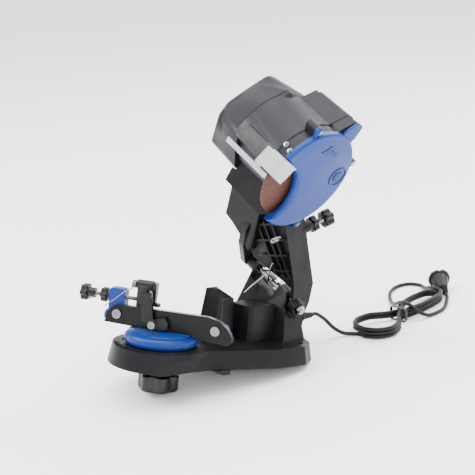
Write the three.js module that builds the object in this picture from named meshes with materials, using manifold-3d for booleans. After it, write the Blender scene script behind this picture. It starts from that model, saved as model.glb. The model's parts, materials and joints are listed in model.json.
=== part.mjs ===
// A bench grinder for saw chains: a bench base with a swivelling chain vise, and a motor head
// with a thin grinding wheel that swings down on an inclined axle.
// The machine is modelled level, with the vise's turning axis as its own Z axis, the operator
// standing at -Y and the wheel side at +X. It then tips back until it stands on the knob under
// its base and on its rear edge, and the floor is Z = 0.
import * as THREE from "three";
import { mergeVertices } from "three/addons/utils/BufferGeometryUtils.js";
import Module from "manifold-3d";

const wasm = await Module();
wasm.setup();

const GAP = 0.3; // clearance between touching pieces
const ROUND = 36; // sides of a large round piece
const SMALL = 16; // sides of a small round piece

// ---------- driving dimensions, mm ----------
const base = { frontR: 75.5, height: 27, draft: 5.5, rearY: 225 };
const turntable = { r: 54, bottom: 27 + GAP, top: 43, edge: 11, half: 2.5 };
const lockKnob = { r: 30, top: -12, bottom: -41, chamfer: 1.5, boltR: 5 };
const viseTurn = 25; // degrees the vise is swung round from square
const axleTilt = 30; // degrees the wheel axle slopes down to the near side
const pivot = new THREE.Vector3(0, 195, 130.7); // where the swing axle crosses the mid plane
const head = new THREE.Vector3(32.1, -64.5, 197.4); // wheel centre from the pivot, tilted axes
const wheel = { r: 72.5, bore: 11.1, thick: 3.2 };
const motor = { tubeR: 48.5, wall: 3.5, farEnd: -147, seam: -87, front: -8 };
const shell = { farR: 60.5, seamR: 71, frontR: 80 };
const cover = { r: 81.5, back: 8.2, front: 16.9, wall: 3 };
const rail = { near: -7, far: -2.4, thick: 3 };
const carrierTop = 66;
const axleR = 5;
const cordR = 3.1;
const gland = { at: [75, 58], y: 220, tail: 250 }; // in the column's rear face

// ---------- materials ----------
const paint = (color, metalness, roughness) =>
  new THREE.MeshStandardMaterial({ color, metalness, roughness });
const blackPlastic = paint(0x2b2c2f, 0, 0.5);
const darkCasting = paint(0x34353a, 0, 0.6);
const bluePlastic = paint(0x1f5fc4, 0, 0.35);
const steel = paint(0xc4c6c9, 1, 0.25);
const blackSteel = paint(0x202226, 0.6, 0.4);
const abrasive = paint(0x8a4a38, 0, 0.95);
const clear = paint(0xe4e2ea, 0, 0.2);
const copper = paint(0xb06a3a, 0.8, 0.4);
const brass = paint(0xc9a55a, 1, 0.3);
const rubber = paint(0x1b1c1f, 0, 0.7);

// ---------- frames ----------
const rad = THREE.MathUtils.degToRad;
const tiltFrame = new THREE.Matrix4()
  .makeTranslation(pivot.x, pivot.y, pivot.z)
  .multiply(new THREE.Matrix4().makeRotationY(rad(axleTilt)));
const headFrame = tiltFrame.clone().multiply(new THREE.Matrix4().makeTranslation(head.x, head.y, head.z));
const viseFrame = new THREE.Matrix4().makeRotationZ(rad(viseTurn));
const levelFrame = new THREE.Matrix4();
const standsAt = (lockKnob.r - lockKnob.chamfer) * Math.cos(rad(30)); // two of the knob's six lobes
const tanPitch = -lockKnob.bottom / (base.rearY - standsAt);

// ---------- solids ----------
function solid(geometry, frame = levelFrame) {
  const g = geometry.clone().applyMatrix4(frame);
  g.deleteAttribute("normal");
  g.deleteAttribute("uv");
  const merged = mergeVertices(g, 1e-4);
  const mesh = new wasm.Mesh({
    numProp: 3,
    vertProperties: merged.attributes.position.array,
    triVerts: new Uint32Array(merged.index.array),
  });
  return new wasm.Manifold(mesh);
}

const join = (...solids) => solids.reduce((a, b) => a.add(b));
const cut = (body, ...tools) => tools.reduce((a, b) => a.subtract(b), body);

// The largest body of a solid, without the slivers a cut can leave.
const largest = (whole) => whole.decompose().reduce((a, b) => (b.volume() > a.volume() ? b : a));

function geometryOf(manifold) {
  const mesh = manifold.getMesh();
  const points = new Float32Array(mesh.numVert * 3);
  for (let i = 0; i < mesh.numVert; i += 1) {
    points.set(mesh.vertProperties.subarray(i * mesh.numProp, i * mesh.numProp + 3), i * 3);
  }
  const geometry = new THREE.BufferGeometry();
  geometry.setAttribute("position", new THREE.BufferAttribute(points, 3));
  geometry.setIndex(new THREE.BufferAttribute(mesh.triVerts, 1));
  const flat = geometry.toNonIndexed();
  flat.computeVertexNormals();
  return flat;
}

const AXES = {
  x: new THREE.Matrix4().set(0, 0, 1, 0, 1, 0, 0, 0, 0, 1, 0, 0, 0, 0, 0, 1),
  y: new THREE.Matrix4().set(1, 0, 0, 0, 0, 0, -1, 0, 0, 1, 0, 0, 0, 0, 0, 1),
  z: new THREE.Matrix4(),
};

// A flat outline drawn across an axis and pushed along it from one station to another.
// The outline's own axes are (y, z) for axis x, (x, z) for axis y and (x, y) for axis z.
function plate(axis, outline, from, to, frame) {
  const shape = new THREE.Shape(outline.map(([a, b]) => new THREE.Vector2(a, b)));
  const g = new THREE.ExtrudeGeometry(shape, { depth: to - from, bevelEnabled: false });
  g.translate(0, 0, axis === "y" ? -to : from);
  return solid(g.applyMatrix4(AXES[axis]), frame);
}

function circle(r, sides = ROUND, at = [0, 0], from = 0, to = 360) {
  const full = to - from >= 360;
  const steps = full ? sides : sides + 1;
  return Array.from({ length: steps }, (_, i) => {
    const angle = rad(from + ((to - from) * i) / sides);
    return [at[0] + r * Math.cos(angle), at[1] + r * Math.sin(angle)];
  });
}

const rod = (axis, r, from, to, frame, sides = SMALL, at = [0, 0]) =>
  plate(axis, circle(r, sides, at), from, to, frame);

const block = (x, y, z, frame) =>
  plate("z", [[x[0], y[0]], [x[1], y[0]], [x[1], y[1]], [x[0], y[1]]], z[0], z[1], frame);

// A solid between two rings of as many points, its ends cut into triangles as seen along an axis.
function loft(startRing, endRing, axis, frame) {
  const [u, v] = { x: [1, 2], y: [0, 2], z: [0, 1] }[axis];
  const n = startRing.length;
  const seen = startRing.map((q) => new THREE.Vector2(q[u], q[v]));
  const clockwise = THREE.ShapeUtils.isClockWise(seen);
  const ringA = clockwise ? [...startRing].reverse() : startRing;
  const ringB = clockwise ? [...endRing].reverse() : endRing;
  const cap = THREE.ShapeUtils.triangulateShape(clockwise ? seen.reverse() : seen, []);
  const triangles = [];
  for (const [a, b, c] of cap) triangles.push([a, c, b], [a + n, b + n, c + n]);
  for (let i = 0; i < n; i += 1) {
    const j = (i + 1) % n;
    triangles.push([i, j, j + n], [i, j + n, i + n]);
  }
  const points = [...ringA, ...ringB].map((q) => new THREE.Vector3(...q));
  const volume = triangles.reduce(
    (sum, [a, b, c]) => sum + points[a].dot(points[b].clone().cross(points[c])),
    0,
  );
  const facing = volume < 0 ? triangles.map(([a, b, c]) => [a, c, b]) : triangles;
  const g = new THREE.BufferGeometry().setFromPoints(points);
  g.setIndex(facing.flat());
  return solid(g, frame);
}

// Moves each point of a closed outline inwards along the mean of its two edge normals.
function inset(outline, distance) {
  const n = outline.length;
  const area = outline.reduce((sum, [x, y], i) => {
    const [nx, ny] = outline[(i + 1) % n];
    return sum + x * ny - nx * y;
  }, 0);
  const side = Math.sign(area);
  return outline.map(([x, y], i) => {
    const before = new THREE.Vector2(...outline[(i + n - 1) % n]);
    const after = new THREE.Vector2(...outline[(i + 1) % n]);
    const here = new THREE.Vector2(x, y);
    const d1 = here.clone().sub(before).normalize();
    const d2 = after.sub(here).normalize();
    const normal = new THREE.Vector2(-d1.y - d2.y, d1.x + d2.x).normalize().multiplyScalar(side);
    return [x + normal.x * distance, y + normal.y * distance];
  });
}

const at = (outline, z) => outline.map(([x, y]) => [x, y, z]);

function lathe(profile, sides, frame) {
  const g = new THREE.LatheGeometry(profile.map(([r, z]) => new THREE.Vector2(r, z)), sides);
  g.rotateX(Math.PI / 2); // the lathe's own axis is Y
  return solid(g, frame);
}

// A round bar bent along a list of points.
function wire(points, r, steps, sides, frame, tension = 0.5) {
  const path = new THREE.CatmullRomCurve3(points.map((q) => new THREE.Vector3(...q)), false, "catmullrom", tension);
  const section = new THREE.Shape(circle(r, sides).map(([a, b]) => new THREE.Vector2(a, b)));
  return solid(new THREE.ExtrudeGeometry(section, { steps, bevelEnabled: false, extrudePath: path }), frame);
}

// A hand knob's outline: lobes round a circle, with a shallow valley between each two.
function lobed(r, lobes, depth, middle = [0, 0]) {
  const steps = lobes * 6;
  return Array.from({ length: steps }, (_, i) => {
    const angle = (2 * Math.PI * i) / steps;
    const reach = r - depth * Math.pow(Math.abs(Math.sin((lobes * angle) / 2)), 3);
    return [middle[0] + reach * Math.cos(angle), middle[1] + reach * Math.sin(angle)];
  });
}

const hexagon = (acrossFlats, middle) => circle(acrossFlats / Math.sqrt(3), 6, middle);

// A pan head screw lying along an axis, its head at the lower station.
function panScrew(axis, headR, headThick, shankR, from, to, frame, middle) {
  const headPart = rod(axis, headR, from, from + headThick, frame, SMALL, middle);
  const shank = rod(axis, shankR, from + headThick - 0.1, to, frame, 12, middle);
  const slotA = [[-headR * 0.6, -0.7], [headR * 0.6, -0.7], [headR * 0.6, 0.7], [-headR * 0.6, 0.7]];
  const slotB = slotA.map(([a, b]) => [b, a]);
  const slots = [slotA, slotB].map((outline) =>
    plate(axis, outline.map(([a, b]) => [a + middle[0], b + middle[1]]), from - 1, from + 1, frame),
  );
  return cut(join(headPart, shank), ...slots);
}

// ---------- the group ----------
const machine = new THREE.Group();
const group = new THREE.Group();
group.add(machine);

function add(name, manifold, material, parent = machine) {
  const mesh = new THREE.Mesh(geometryOf(manifold), material);
  mesh.name = name;
  parent.add(mesh);
}

// ---------- base ----------
function basePlate() {
  const front = circle(base.frontR, 20, [0, 0], 176, 325);
  const sides = [
    [67, -5], [74, 31], [90, 62], [119, 124], [128, 180], [112, 212], [92, base.rearY],
    [-50, base.rearY], [-66, 208], [-70, 120],
  ];
  const outline = [...front, ...sides];
  return loft(at(outline, 0), at(inset(outline, base.draft), base.height), "z");
}

function column() {
  const foot = [[-33, 166, 20], [92, 166, 20], [92, 219, 20], [-33, 219, 20]];
  const top = [[10, 184, 137], [74, 184, 100], [74, 206, 100], [10, 206, 137]];
  const farBarrel = rod("x", 12, -8, 12, tiltFrame, 24);
  const nearBarrel = rod("x", 12, 63, 84, tiltFrame, 24);
  const notch = block([12, 63], [-40, 40], [-15, 40], tiltFrame);
  const glandPad = block([66, 82.5], [205, gland.y], [46, 70]);
  const bossRoom = rod("x", 18, 90, 140, tiltFrame, 24);
  const body = cut(loft(foot, top, "z"), notch, bossRoom);
  const bore = rod("x", axleR + GAP, -60, 140, tiltFrame);
  return [join(body, farBarrel, nearBarrel, glandPad), bore];
}

function stopBoss() {
  const foot = [[18, 126], [24, 120], [58, 120], [64, 126], [64, 175], [18, 175]];
  return loft(at(foot, 20), at(inset(foot, 1.5), 80), "z");
}

function chipHorn() {
  const foot = [[-14, 86], [-4, 93], [10, 96], [26, 93], [34, 87], [42, 84], [42, 108], [-14, 108]];
  const top = foot.map(([x, y]) => [x * 0.66 + 7.5, y + 2, x > 24 ? 90 : 101]);
  return loft(at(foot, 20), top, "z");
}

function makeBase() {
  const [tower, bore] = column();
  const lug = loft(
    at([[-50, 32], [86, 32], [88, 58], [-50, 58]], 1),
    at([[-50, 46], [84, 46], [86, 58], [-50, 58]], -7),
    "z",
  );
  const scaleRing = lathe([[57, 20], [71, 20], [69, 27], [57, 28.4], [57, 20]], ROUND);
  const boltHole = rod("z", lockKnob.boltR + 0.5, -20, 40);
  const screwHoles = [[-40, 205], [106, 190]].map((middle) => rod("z", 4, -5, 60, levelFrame, 16, middle));
  const cordHole = rod("y", 5 + GAP, 200, 240, levelFrame, 16, gland.at);
  return cut(
    join(basePlate(), tower, stopBoss(), chipHorn(), lug, scaleRing),
    boltHole, bore, cordHole, ...screwHoles,
  );
}

// ---------- vise ----------
function makeTurntable() {
  const { r, bottom, top, edge } = turntable;
  const round = circle(edge, 5, [r - edge, top - edge], 0, 90);
  const disc = lathe([[0, bottom], [r - 1, bottom], [r, bottom + 1], ...round, [0, top]], 36);
  const half = plate("z", circle(r - edge - 1, 16, [0, 0], -90, 90), top - 1, top + turntable.half, viseFrame);
  const pointer = block([-2, 2], [-60, -50], [20, 60], new THREE.Matrix4().makeRotationZ(rad(-27)));
  const bolt = rod("z", lockKnob.boltR + GAP, 0, 37);
  const headRoom = rod("z", 8.6, 33.6, 60);
  return cut(join(disc, half), pointer, bolt, headRoom);
}

function makeCarrier(holes) {
  const y0 = rail.far + rail.thick + GAP;
  const z0 = turntable.top + turntable.half + GAP;
  const bar = plate(
    "y",
    [[-92, 60], [-88, carrierTop], [88, carrierTop], [96, 64], [98, 56], [92, 52], [-92, 52]],
    y0, 15, viseFrame,
  );
  const foot = block([-46, 46], [y0, 15], [z0, 54], viseFrame);
  const lip = block([-46, 46], [-13, 3], [z0, 46.8], viseFrame);
  return cut(join(bar, foot, lip), ...holes);
}

const RAIL_OUTLINE = [
  [-88, 48.5], [-84, 63], [-75, 74], [-68, 76.5], [70, 77], [88, 73], [100, 64], [108, 52],
  [108, 44], [101, 39], [62, 42.5], [48, 47.2], [-45, 47.2],
];
const RAIL_SCREWS = [[-68, 62.5], [83, 58.5]];
const CLAMP_AT = [-10, 55.5];

function makeRail(y0, holes) {
  return cut(plate("y", RAIL_OUTLINE, y0, y0 + rail.thick, viseFrame), ...holes);
}

function makeClampLever() {
  const y0 = rail.near - 9;
  const y1 = rail.near - GAP;
  const hub = rod("y", 8.3, y0, y1, viseFrame, 24, CLAMP_AT);
  const upright = plate("y", [[-27, 58], [-9, 58], [-15, 101], [-32, 99]], y0 + 2, y1 - 1, viseFrame);
  const cam = plate("y", [[-10, 63], [8, 68], [13, 61], [13, 52], [5, 48.5], [-10, 48.5]], y0 + 2, y1, viseFrame);
  const bore = rod("y", 3.4, y0 - 1, y1 + 1, viseFrame, 16, CLAMP_AT);
  return cut(join(hub, upright, cam), bore);
}

const STOP_Y = 8; // depth of the stop bracket's middle behind the chain line
const SCREW_Z = 85;
const ADJUSTER_TIP = -35.5; // the adjuster's tip, inside its nut bore in the stop bracket

function makeStopBlock() {
  const outline = [[-86, carrierTop + GAP], [-61, carrierTop + GAP], [-61, 95], [-66, 98], [-83, 98], [-86, 94]];
  const body = plate("y", outline, 1, 16, viseFrame);
  return cut(body, rod("x", 3.4, -90, -55, viseFrame, 16, [STOP_Y, SCREW_Z]));
}

function makeStopBracket() {
  const upright = plate("y", [[-44, carrierTop + GAP], [-25, carrierTop + GAP], [-24, 104], [-43, 104]], 2, 14, viseFrame);
  const barrel = rod("x", 7.5, -44, -20, viseFrame, 24, [STOP_Y, 107]);
  const nutBore = rod("x", 3.4, -60, ADJUSTER_TIP + 4.8, viseFrame, 16, [STOP_Y, SCREW_Z]);
  return cut(join(upright, barrel), rod("x", 2.8, -60, 0, viseFrame, 16, [STOP_Y, 107]), nutBore);
}

function makeStopPawl() {
  const x0 = -20 + GAP;
  const arm = loft(
    [[x0, 2, 112], [x0, 14, 112], [x0, 7, 79.5], [x0, 1, 79.5]],
    [[-14, 2, 112], [-14, 14, 112], [-14, 7, 79.5], [-14, 1, 79.5]],
    "x",
    viseFrame,
  );
  const tip = block([x0, -6], [-3.8, 4], [79.5, 84.5], viseFrame);
  const pin = rod("x", 2.5, -52, -14, viseFrame, 16, [STOP_Y, 107]);
  return join(arm, tip, pin);
}

function makePawlSpring() {
  const turns = 4;
  const perTurn = 8;
  const points = [];
  for (let i = 0; i <= turns * perTurn; i += 1) {
    const angle = (2 * Math.PI * i) / perTurn - Math.PI / 2;
    points.push([-45.8 - (i * 6.4) / (turns * perTurn), STOP_Y + 5 * Math.cos(angle), 107 + 5 * Math.sin(angle)]);
  }
  points.push([-54, 3, 99.5], [-62, -2, 94], [-76, -2.5, 82], [-91, -2.5, 70]);
  return wire(points, 0.8, 66, 5, viseFrame, 0.4);
}

function makeAdjusterScrew() {
  const threaded = rod("x", 3, -126, ADJUSTER_TIP, viseFrame, 16, [STOP_Y, SCREW_Z]);
  const grip = plate("x", lobed(12.5, 6, 3, [STOP_Y, SCREW_Z]), -132, -120, viseFrame);
  const neck = rod("x", 7.5, -120.1, -110, viseFrame, 20, [STOP_Y, SCREW_Z]);
  return join(threaded, grip, neck);
}

function makeAdjusterLockKnob() {
  const grip = plate("x", lobed(11, 6, 2.6, [STOP_Y, SCREW_Z]), -100, -90, viseFrame);
  const neck = rod("x", 7, -90.1, -86 - GAP, viseFrame, 20, [STOP_Y, SCREW_Z]);
  return cut(join(grip, neck), rod("x", 3 + GAP, -110, -80, viseFrame, 16, [STOP_Y, SCREW_Z]));
}

// ---------- lock under the base ----------
function makeSwivelBolt() {
  const shank = rod("z", lockKnob.boltR, lockKnob.bottom + 6, 34);
  const hex = plate("z", hexagon(14, [0, 0]), 33.9, 36.7);
  return join(shank, hex);
}

function makeSwivelKnob() {
  const { r, top, bottom, chamfer, boltR } = lockKnob;
  const outline = lobed(r, 6, 5);
  const grip = loft(at(inset(outline, chamfer), bottom), at(outline, bottom + 3), "z");
  const body = plate("z", outline, bottom + 2.9, top - 5);
  const shoulder = rod("z", r - 8, top - 5.1, top, levelFrame, 32);
  const dish = rod("z", 12, bottom - 1, bottom + 5, levelFrame, 24);
  return cut(join(grip, body, shoulder), dish, rod("z", boltR + GAP, -60, 10));
}

function makeSwivelWasher() {
  return cut(rod("z", 16, lockKnob.top + GAP, -GAP, levelFrame, 32), rod("z", lockKnob.boltR + GAP, -40, 10));
}

// ---------- swing axle ----------
function nutOnAxle(from, to, capTo) {
  const hex = plate("x", hexagon(13, [0, 0]), from, to, tiltFrame);
  const cap = capTo ? rod("x", 5.8, to - 0.1, capTo, tiltFrame) : null;
  return cut(cap ? join(hex, cap) : hex, rod("x", axleR + GAP, -60, 112 + GAP, tiltFrame, 24));
}

function makeTorsionSpring() {
  const turns = 5;
  const perTurn = 8;
  const start = 24;
  const pitchLength = 5.4;
  const points = [[start - 2, -38, -46], [start - 1.5, -25, -24], [start - 1, -12, -5]];
  for (let i = 0; i <= turns * perTurn; i += 1) {
    const angle = Math.PI + (2 * Math.PI * i) / perTurn;
    points.push([start + (i * pitchLength) / perTurn, 8.2 * Math.cos(angle), 8.2 * Math.sin(angle)]);
  }
  points.push([start + turns * pitchLength + 1, -18, 9], [start + turns * pitchLength + 1, -28, 26]);
  points.push([start + turns * pitchLength + 1, -33, 44]);
  return wire(points, 1.4, 76, 6, tiltFrame, 0.4);
}

// ---------- arm ----------
// The arm leans back as it goes down: how far back its front is at a height.
const lean = (z, forward = 0) => 110 + (283 - z) * 0.36 + forward;

function leaningPlate(outline, forward, thick) {
  const frontRing = outline.map(([x, z]) => [x, lean(z, forward), z]);
  const backRing = outline.map(([x, z]) => [x, lean(z, forward) + thick, z]);
  return loft(frontRing, backRing, "y");
}

function armRibs() {
  const ribs = [];
  for (const [x0, x1] of [[36, 62], [50, 76], [66, 84]]) {
    ribs.push(leaningPlate([[x0, 206], [x0 + 3, 206], [x1 + 3, 124], [x1, 124]], 5, 8));
  }
  for (const z of [205, 181, 157, 133]) {
    ribs.push(leaningPlate([[32, z - 8], [86, z + 1], [86, z + 4], [32, z - 5]], 5, 8));
  }
  return ribs;
}

function makeArm() {
  const panel = leaningPlate([[18, 283], [63, 257], [15, 156], [2, 182], [-9, 198], [-19, 209]], 0, 6);
  const side = leaningPlate([[18, 283], [25, 279], [-12, 205], [-19, 209]], 0, 42);
  const web = leaningPlate([[14, 162], [30, 262], [89, 232], [89, 104], [14, 146]], 11, 6);
  const joint = leaningPlate([[14, 156], [22, 160], [68, 254], [56, 262]], 0, 14);
  const cheekOutline = [
    [124, 262], [172, 262], [197, 204], [203, 184], [228, 113], [222, 84], [212, 66], [196, 62],
    [184, 70], [182, 113], [150, 202],
  ];
  const cheek = plate("x", cheekOutline, 84, 90);
  const farLeg = plate(
    "x",
    [[-56, 62], [-42, 30], [-12, -8], [0, -13], [11, -8], [14, 20], [-4, 48], [-30, 80], [-56, 84]],
    -21, -9 - GAP, tiltFrame,
  );
  const farBoss = rod("x", 12, -23, -9 - GAP, tiltFrame, 24);
  const nearBoss = rod("x", 13, 94, 106, tiltFrame, 24);
  const saddle = block([-62, 26], [-92, -30], [118, 168], tiltFrame);
  const screwBoss = plate("x", circle(9, 20), -70, -38, depthFrame);
  const motorRoom = rod("x", motor.tubeR + GAP, -170, 60, headFrame, 36);
  const farRoom = rod("x", shell.farR + GAP, motor.farEnd - 5, motor.seam + 1, headFrame, 36);
  const shellRoom = loft(...nearShellRings(0.6), "x", headFrame);
  const coneRoom = loft(...farShellRings(0.6), "x", headFrame);
  const boxRoom = loft(...nearBoxRings(0.6), "x", headFrame);
  const wheelRoom = rod("x", 86, motor.front - 3, 90, headFrame, 44);
  const screwRoom = rod("x", 9, -20, 40, headFrame, 20, COVER_SCREWS[2]);
  const nutRoom = rod("x", 10.5, 106, 140, tiltFrame, 24);
  const bore = rod("x", axleR + GAP, -60, 140, tiltFrame);
  const screwBore = rod("x", 4 + GAP, -120, 60, depthFrame);
  const body = join(panel, side, web, joint, cheek, farLeg, farBoss, nearBoss, saddle, screwBoss, ...armRibs());
  return cut(
    body, motorRoom, farRoom, shellRoom, coneRoom, boxRoom, wheelRoom, screwRoom, nutRoom, bore, screwBore,
  );
}

// ---------- depth stop: a screw through the arm, its tip towards the base ----------
const depthFrame = tiltFrame
  .clone()
  .multiply(new THREE.Matrix4().makeTranslation(38, -53, 78))
  .multiply(new THREE.Matrix4().makeRotationX(rad(-158.6)))
  .multiply(new THREE.Matrix4().makeRotationZ(rad(90)));

function makeDepthScrew() {
  const threaded = rod("x", 4, -100, -3, depthFrame, 20);
  const tip = rod("x", 2.6, -3.1, 0, depthFrame, 16);
  const grip = plate("x", lobed(14, 6, 3), -116, -99.9, depthFrame);
  return join(threaded, tip, grip);
}

function makeDepthLockKnob() {
  const grip = plate("x", lobed(13, 6, 2.8), -86, -76, depthFrame);
  const neck = rod("x", 8, -76.1, -70 - GAP, depthFrame);
  return cut(join(grip, neck), rod("x", 4 + GAP, -90, -60, depthFrame));
}

// ---------- motor head ----------
function nearShellRings(grow = 0) {
  const ring = (r, x, box) => {
    const arc = circle(r + grow, 24, [0, 0], 171, -38).map(([y, z]) => [x, y, z]);
    const closing = [[x, 40, -30 - grow], [x, -40, -14 - grow]];
    return [...arc, ...closing];
  };
  return [ring(shell.seamR + 1, motor.seam + GAP), ring(shell.frontR, motor.front)];
}

function nearBoxRings(grow = 0) {
  const ring = (x, corner, far) => [
    [x, 8, 60], [x, 16 - grow, corner[1] - 15], [x, corner[0] - grow, corner[1] + grow],
    [x, far[0] + grow, far[1]], [x, 60 + grow, 40],
  ];
  return [ring(-78 - grow, [41, 94], [55, 88]), ring(8, [43, 98], [57, 93])];
}

// A screw's boss with a web back to the rim that carries it.
function screwLug(middle, r, from, to) {
  const [y, z] = middle;
  const reach = Math.hypot(y, z);
  const [uy, uz] = [y / reach, z / reach];
  const inner = [uy * (shell.frontR - 4), uz * (shell.frontR - 4)];
  const side = [-uz * r, uy * r];
  const web = [
    [inner[0] + side[0], inner[1] + side[1]], [y + side[0], z + side[1]],
    [y - side[0], z - side[1]], [inner[0] - side[0], inner[1] - side[1]],
  ];
  return join(rod("x", r, from, to, headFrame, SMALL, middle), plate("x", web, from, to, headFrame));
}

function makeNearHousing() {
  const dome = loft(...nearShellRings(), "x", headFrame);
  const box = loft(...nearBoxRings(), "x", headFrame);
  const rimOuter = plate("x", [...circle(shell.frontR - 0.6, 26, [0, 0], 165, -78), [0, 0]], motor.front - 0.1, 8, headFrame);
  const rimRoom = rod("x", shell.frontR - 3, motor.front, 20, headFrame, 36);
  const tubeRoom = rod("x", motor.tubeR + GAP, -120, 10, headFrame, 36);
  const bossRoots = COVER_SCREWS.map((middle) => screwLug(middle, 5.6, motor.front - 2.3, 8));
  const screwHoles = COVER_SCREWS.map((middle) => rod("x", 2 + GAP, -8, 20, headFrame, 12, middle));
  const switchRoom = block([-62, -38], [30, 70], [50, 79], headFrame);
  return largest(cut(join(dome, box, rimOuter, ...bossRoots), rimRoom, tubeRoom, ...screwHoles, switchRoom));
}

const COVER_SCREWS = [[-35, 83], [79, 31], [34.5, -80]];

function farShellRings(grow = 0) {
  const ring = (r, x, middle) => circle(r + grow, 36, middle).map(([y, z]) => [x, y, z]);
  return [ring(shell.farR, motor.farEnd, [0, 0]), ring(shell.seamR, motor.seam, [5, 8])];
}

function makeFarHousing() {
  const body = loft(...farShellRings(), "x", headFrame);
  const flank = (x, top, left) => [[x, ...left], [x, ...top], [x, top[0] + 30, top[1] - 4], [x, 50, 20], [x, -20, 30]];
  const ridge = loft(flank(motor.farEnd, [6, 76], [-24, 53]), flank(motor.seam, [-6, 84], [-44, 58]), "x", headFrame);
  const room = rod("x", motor.tubeR + GAP, motor.farEnd + 4, 0, headFrame, 36);
  const vents = [-24, -12, 0, 12, 24].map((y) => block([motor.farEnd - 5, -120], [y - 2, y + 2], [-26, 26], headFrame));
  return cut(join(body, ridge), room, ...vents);
}

function makeMotorTube() {
  const outer = rod("x", motor.tubeR, motor.farEnd + 4 + GAP, motor.front + 1, headFrame, 36);
  const inner = rod("x", motor.tubeR - motor.wall, motor.farEnd, motor.front - 3, headFrame, 36);
  const seat = rod("x", 15, -26, motor.front - 2.9, headFrame, 32);
  const seatRoom = rod("x", 12 + GAP, -27, motor.front - 3.4, headFrame, 32);
  const shaftHole = rod("x", 7, -60, 20, headFrame, 24);
  return cut(join(cut(outer, inner), seat), seatRoom, shaftHole);
}

function makeRotor() {
  const shaft = rod("x", 6, -134, 10.5, headFrame, 24);
  const core = rod("x", 25, -104, -46, headFrame, 36);
  const commutator = rod("x", 14, -118, -108, headFrame, 24);
  return join(shaft, core, commutator);
}

const ringX = (outerR, innerR, from, to, frame, sides = 36) =>
  cut(rod("x", outerR, from, to, frame, sides), rod("x", innerR, from - 1, to + 1, frame, sides));

function makeFan() {
  const hub = rod("x", 11, -40, -30, headFrame, 24);
  const blades = Array.from({ length: 8 }, (_, i) => {
    const turn = new THREE.Matrix4().makeRotationX((i * Math.PI) / 4);
    return block([-40, -30], [9, 40], [-1.2, 1.2], headFrame.clone().multiply(turn));
  });
  const disc = rod("x", 40, -31.5, -30, headFrame, 36);
  return cut(join(hub, disc, ...blades), rod("x", 6 + GAP, -60, 0, headFrame, 24));
}

function makeFarBearingPlate() {
  const spider = rod("x", motor.tubeR - motor.wall - GAP, -136, -132.4, headFrame, 36);
  const seat = ringX(17, 12 + GAP, -132.5, -124, headFrame);
  const hole = rod("x", 7, -140, -120, headFrame, 24);
  const slots = [0, 90, 180, 270].map((angle) => {
    const turn = new THREE.Matrix4().makeRotationX(rad(angle));
    return block([-140, -130], [22, 38], [-12, 12], headFrame.clone().multiply(turn));
  });
  return cut(join(spider, seat), hole, ...slots);
}

function makeCover() {
  const outline = [...circle(cover.r, 34, [0, 0], 152, -122), [-30, -62], [-17, -44], [-18, -18], [-32, 10], [-56, 24]];
  const face = plate("x", outline, cover.back, cover.front, headFrame);
  const fin = plate("x", [[20, 70], [23, 82], [43, 98.5], [57, 93.5], [54, 69], [40, 60]], cover.back, cover.front - 4, headFrame);
  const bosses = COVER_SCREWS.map((middle) => screwLug(middle, 6.4, cover.back, cover.front - 2));
  const inside = plate("x", inset(outline, cover.wall), cover.back - 1, cover.front - cover.wall, headFrame);
  const step = plate(
    "x",
    [[-90, 34], [-52, 34], [-30, 16], [-13, -16], [-9, -46], [-26, -70], [-60, -90]],
    cover.front - 3, cover.front + 1, headFrame,
  );
  const shelf = plate("x", [[-48, 24], [-30, 12], [-16, -18], [-14, -44], [-24, -58], [-30, -60], [-17, -44], [-18, -18], [-32, 10], [-50, 20]], cover.back, cover.front - 3, headFrame);
  const holes = COVER_SCREWS.map((middle) => rod("x", 2 + GAP, 0, 20, headFrame, 12, middle));
  const sunk = COVER_SCREWS.map((middle) => rod("x", 3.8, cover.front - 4, 20, headFrame, 16, middle));
  return cut(join(cut(face, inside), fin, bosses[0], bosses[1], bosses[2], shelf), step, ...holes, ...sunk);
}

// ---------- switch and cord gland ----------
function makeSwitchFrame() {
  const body = block([-62 + GAP, -38 - GAP], [30 + GAP, 48], [50 + GAP, 79 - GAP], headFrame);
  return cut(body, block([-56.6, -43.4], [38, 60], [56, 73], headFrame));
}

const makeSwitchRocker = () => block([-56, -44], [40, 51], [58.5, 70.5], headFrame);

function makeGland() {
  const collar = rod("y", 8.5, gland.y + GAP, gland.y + 4, levelFrame, 24, gland.at);
  const neck = rod("y", 5, gland.y - 12, gland.y + 1, levelFrame, 24, gland.at);
  const ring = (r, y) => circle(r, 20, gland.at).map(([x, z]) => [x, y, z]);
  const relief = loft(ring(6.2, gland.y + 3.9), ring(4.2, gland.tail), "y");
  return join(collar, neck, relief);
}

// ---------- visor ----------
function makeVisorRail() {
  const strip = plate("z", [[motor.seam + 2, -83.4], [4, -84.4], [4, -82], [motor.seam + 2, -81]], -3, 9.8, headFrame);
  return strip;
}

function makeVisorShield() {
  return loft(
    [[-14, -75, 34], [34, -75, 34], [34, -88, 12], [-14, -88, 12]],
    [[-14, -73, 32.8], [34, -73, 32.8], [34, -86, 10.8], [-14, -86, 10.8]],
    "z",
    headFrame,
  );
}

add("base_casting", makeBase(), darkCasting);
add("turntable", makeTurntable(), bluePlastic);

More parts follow.
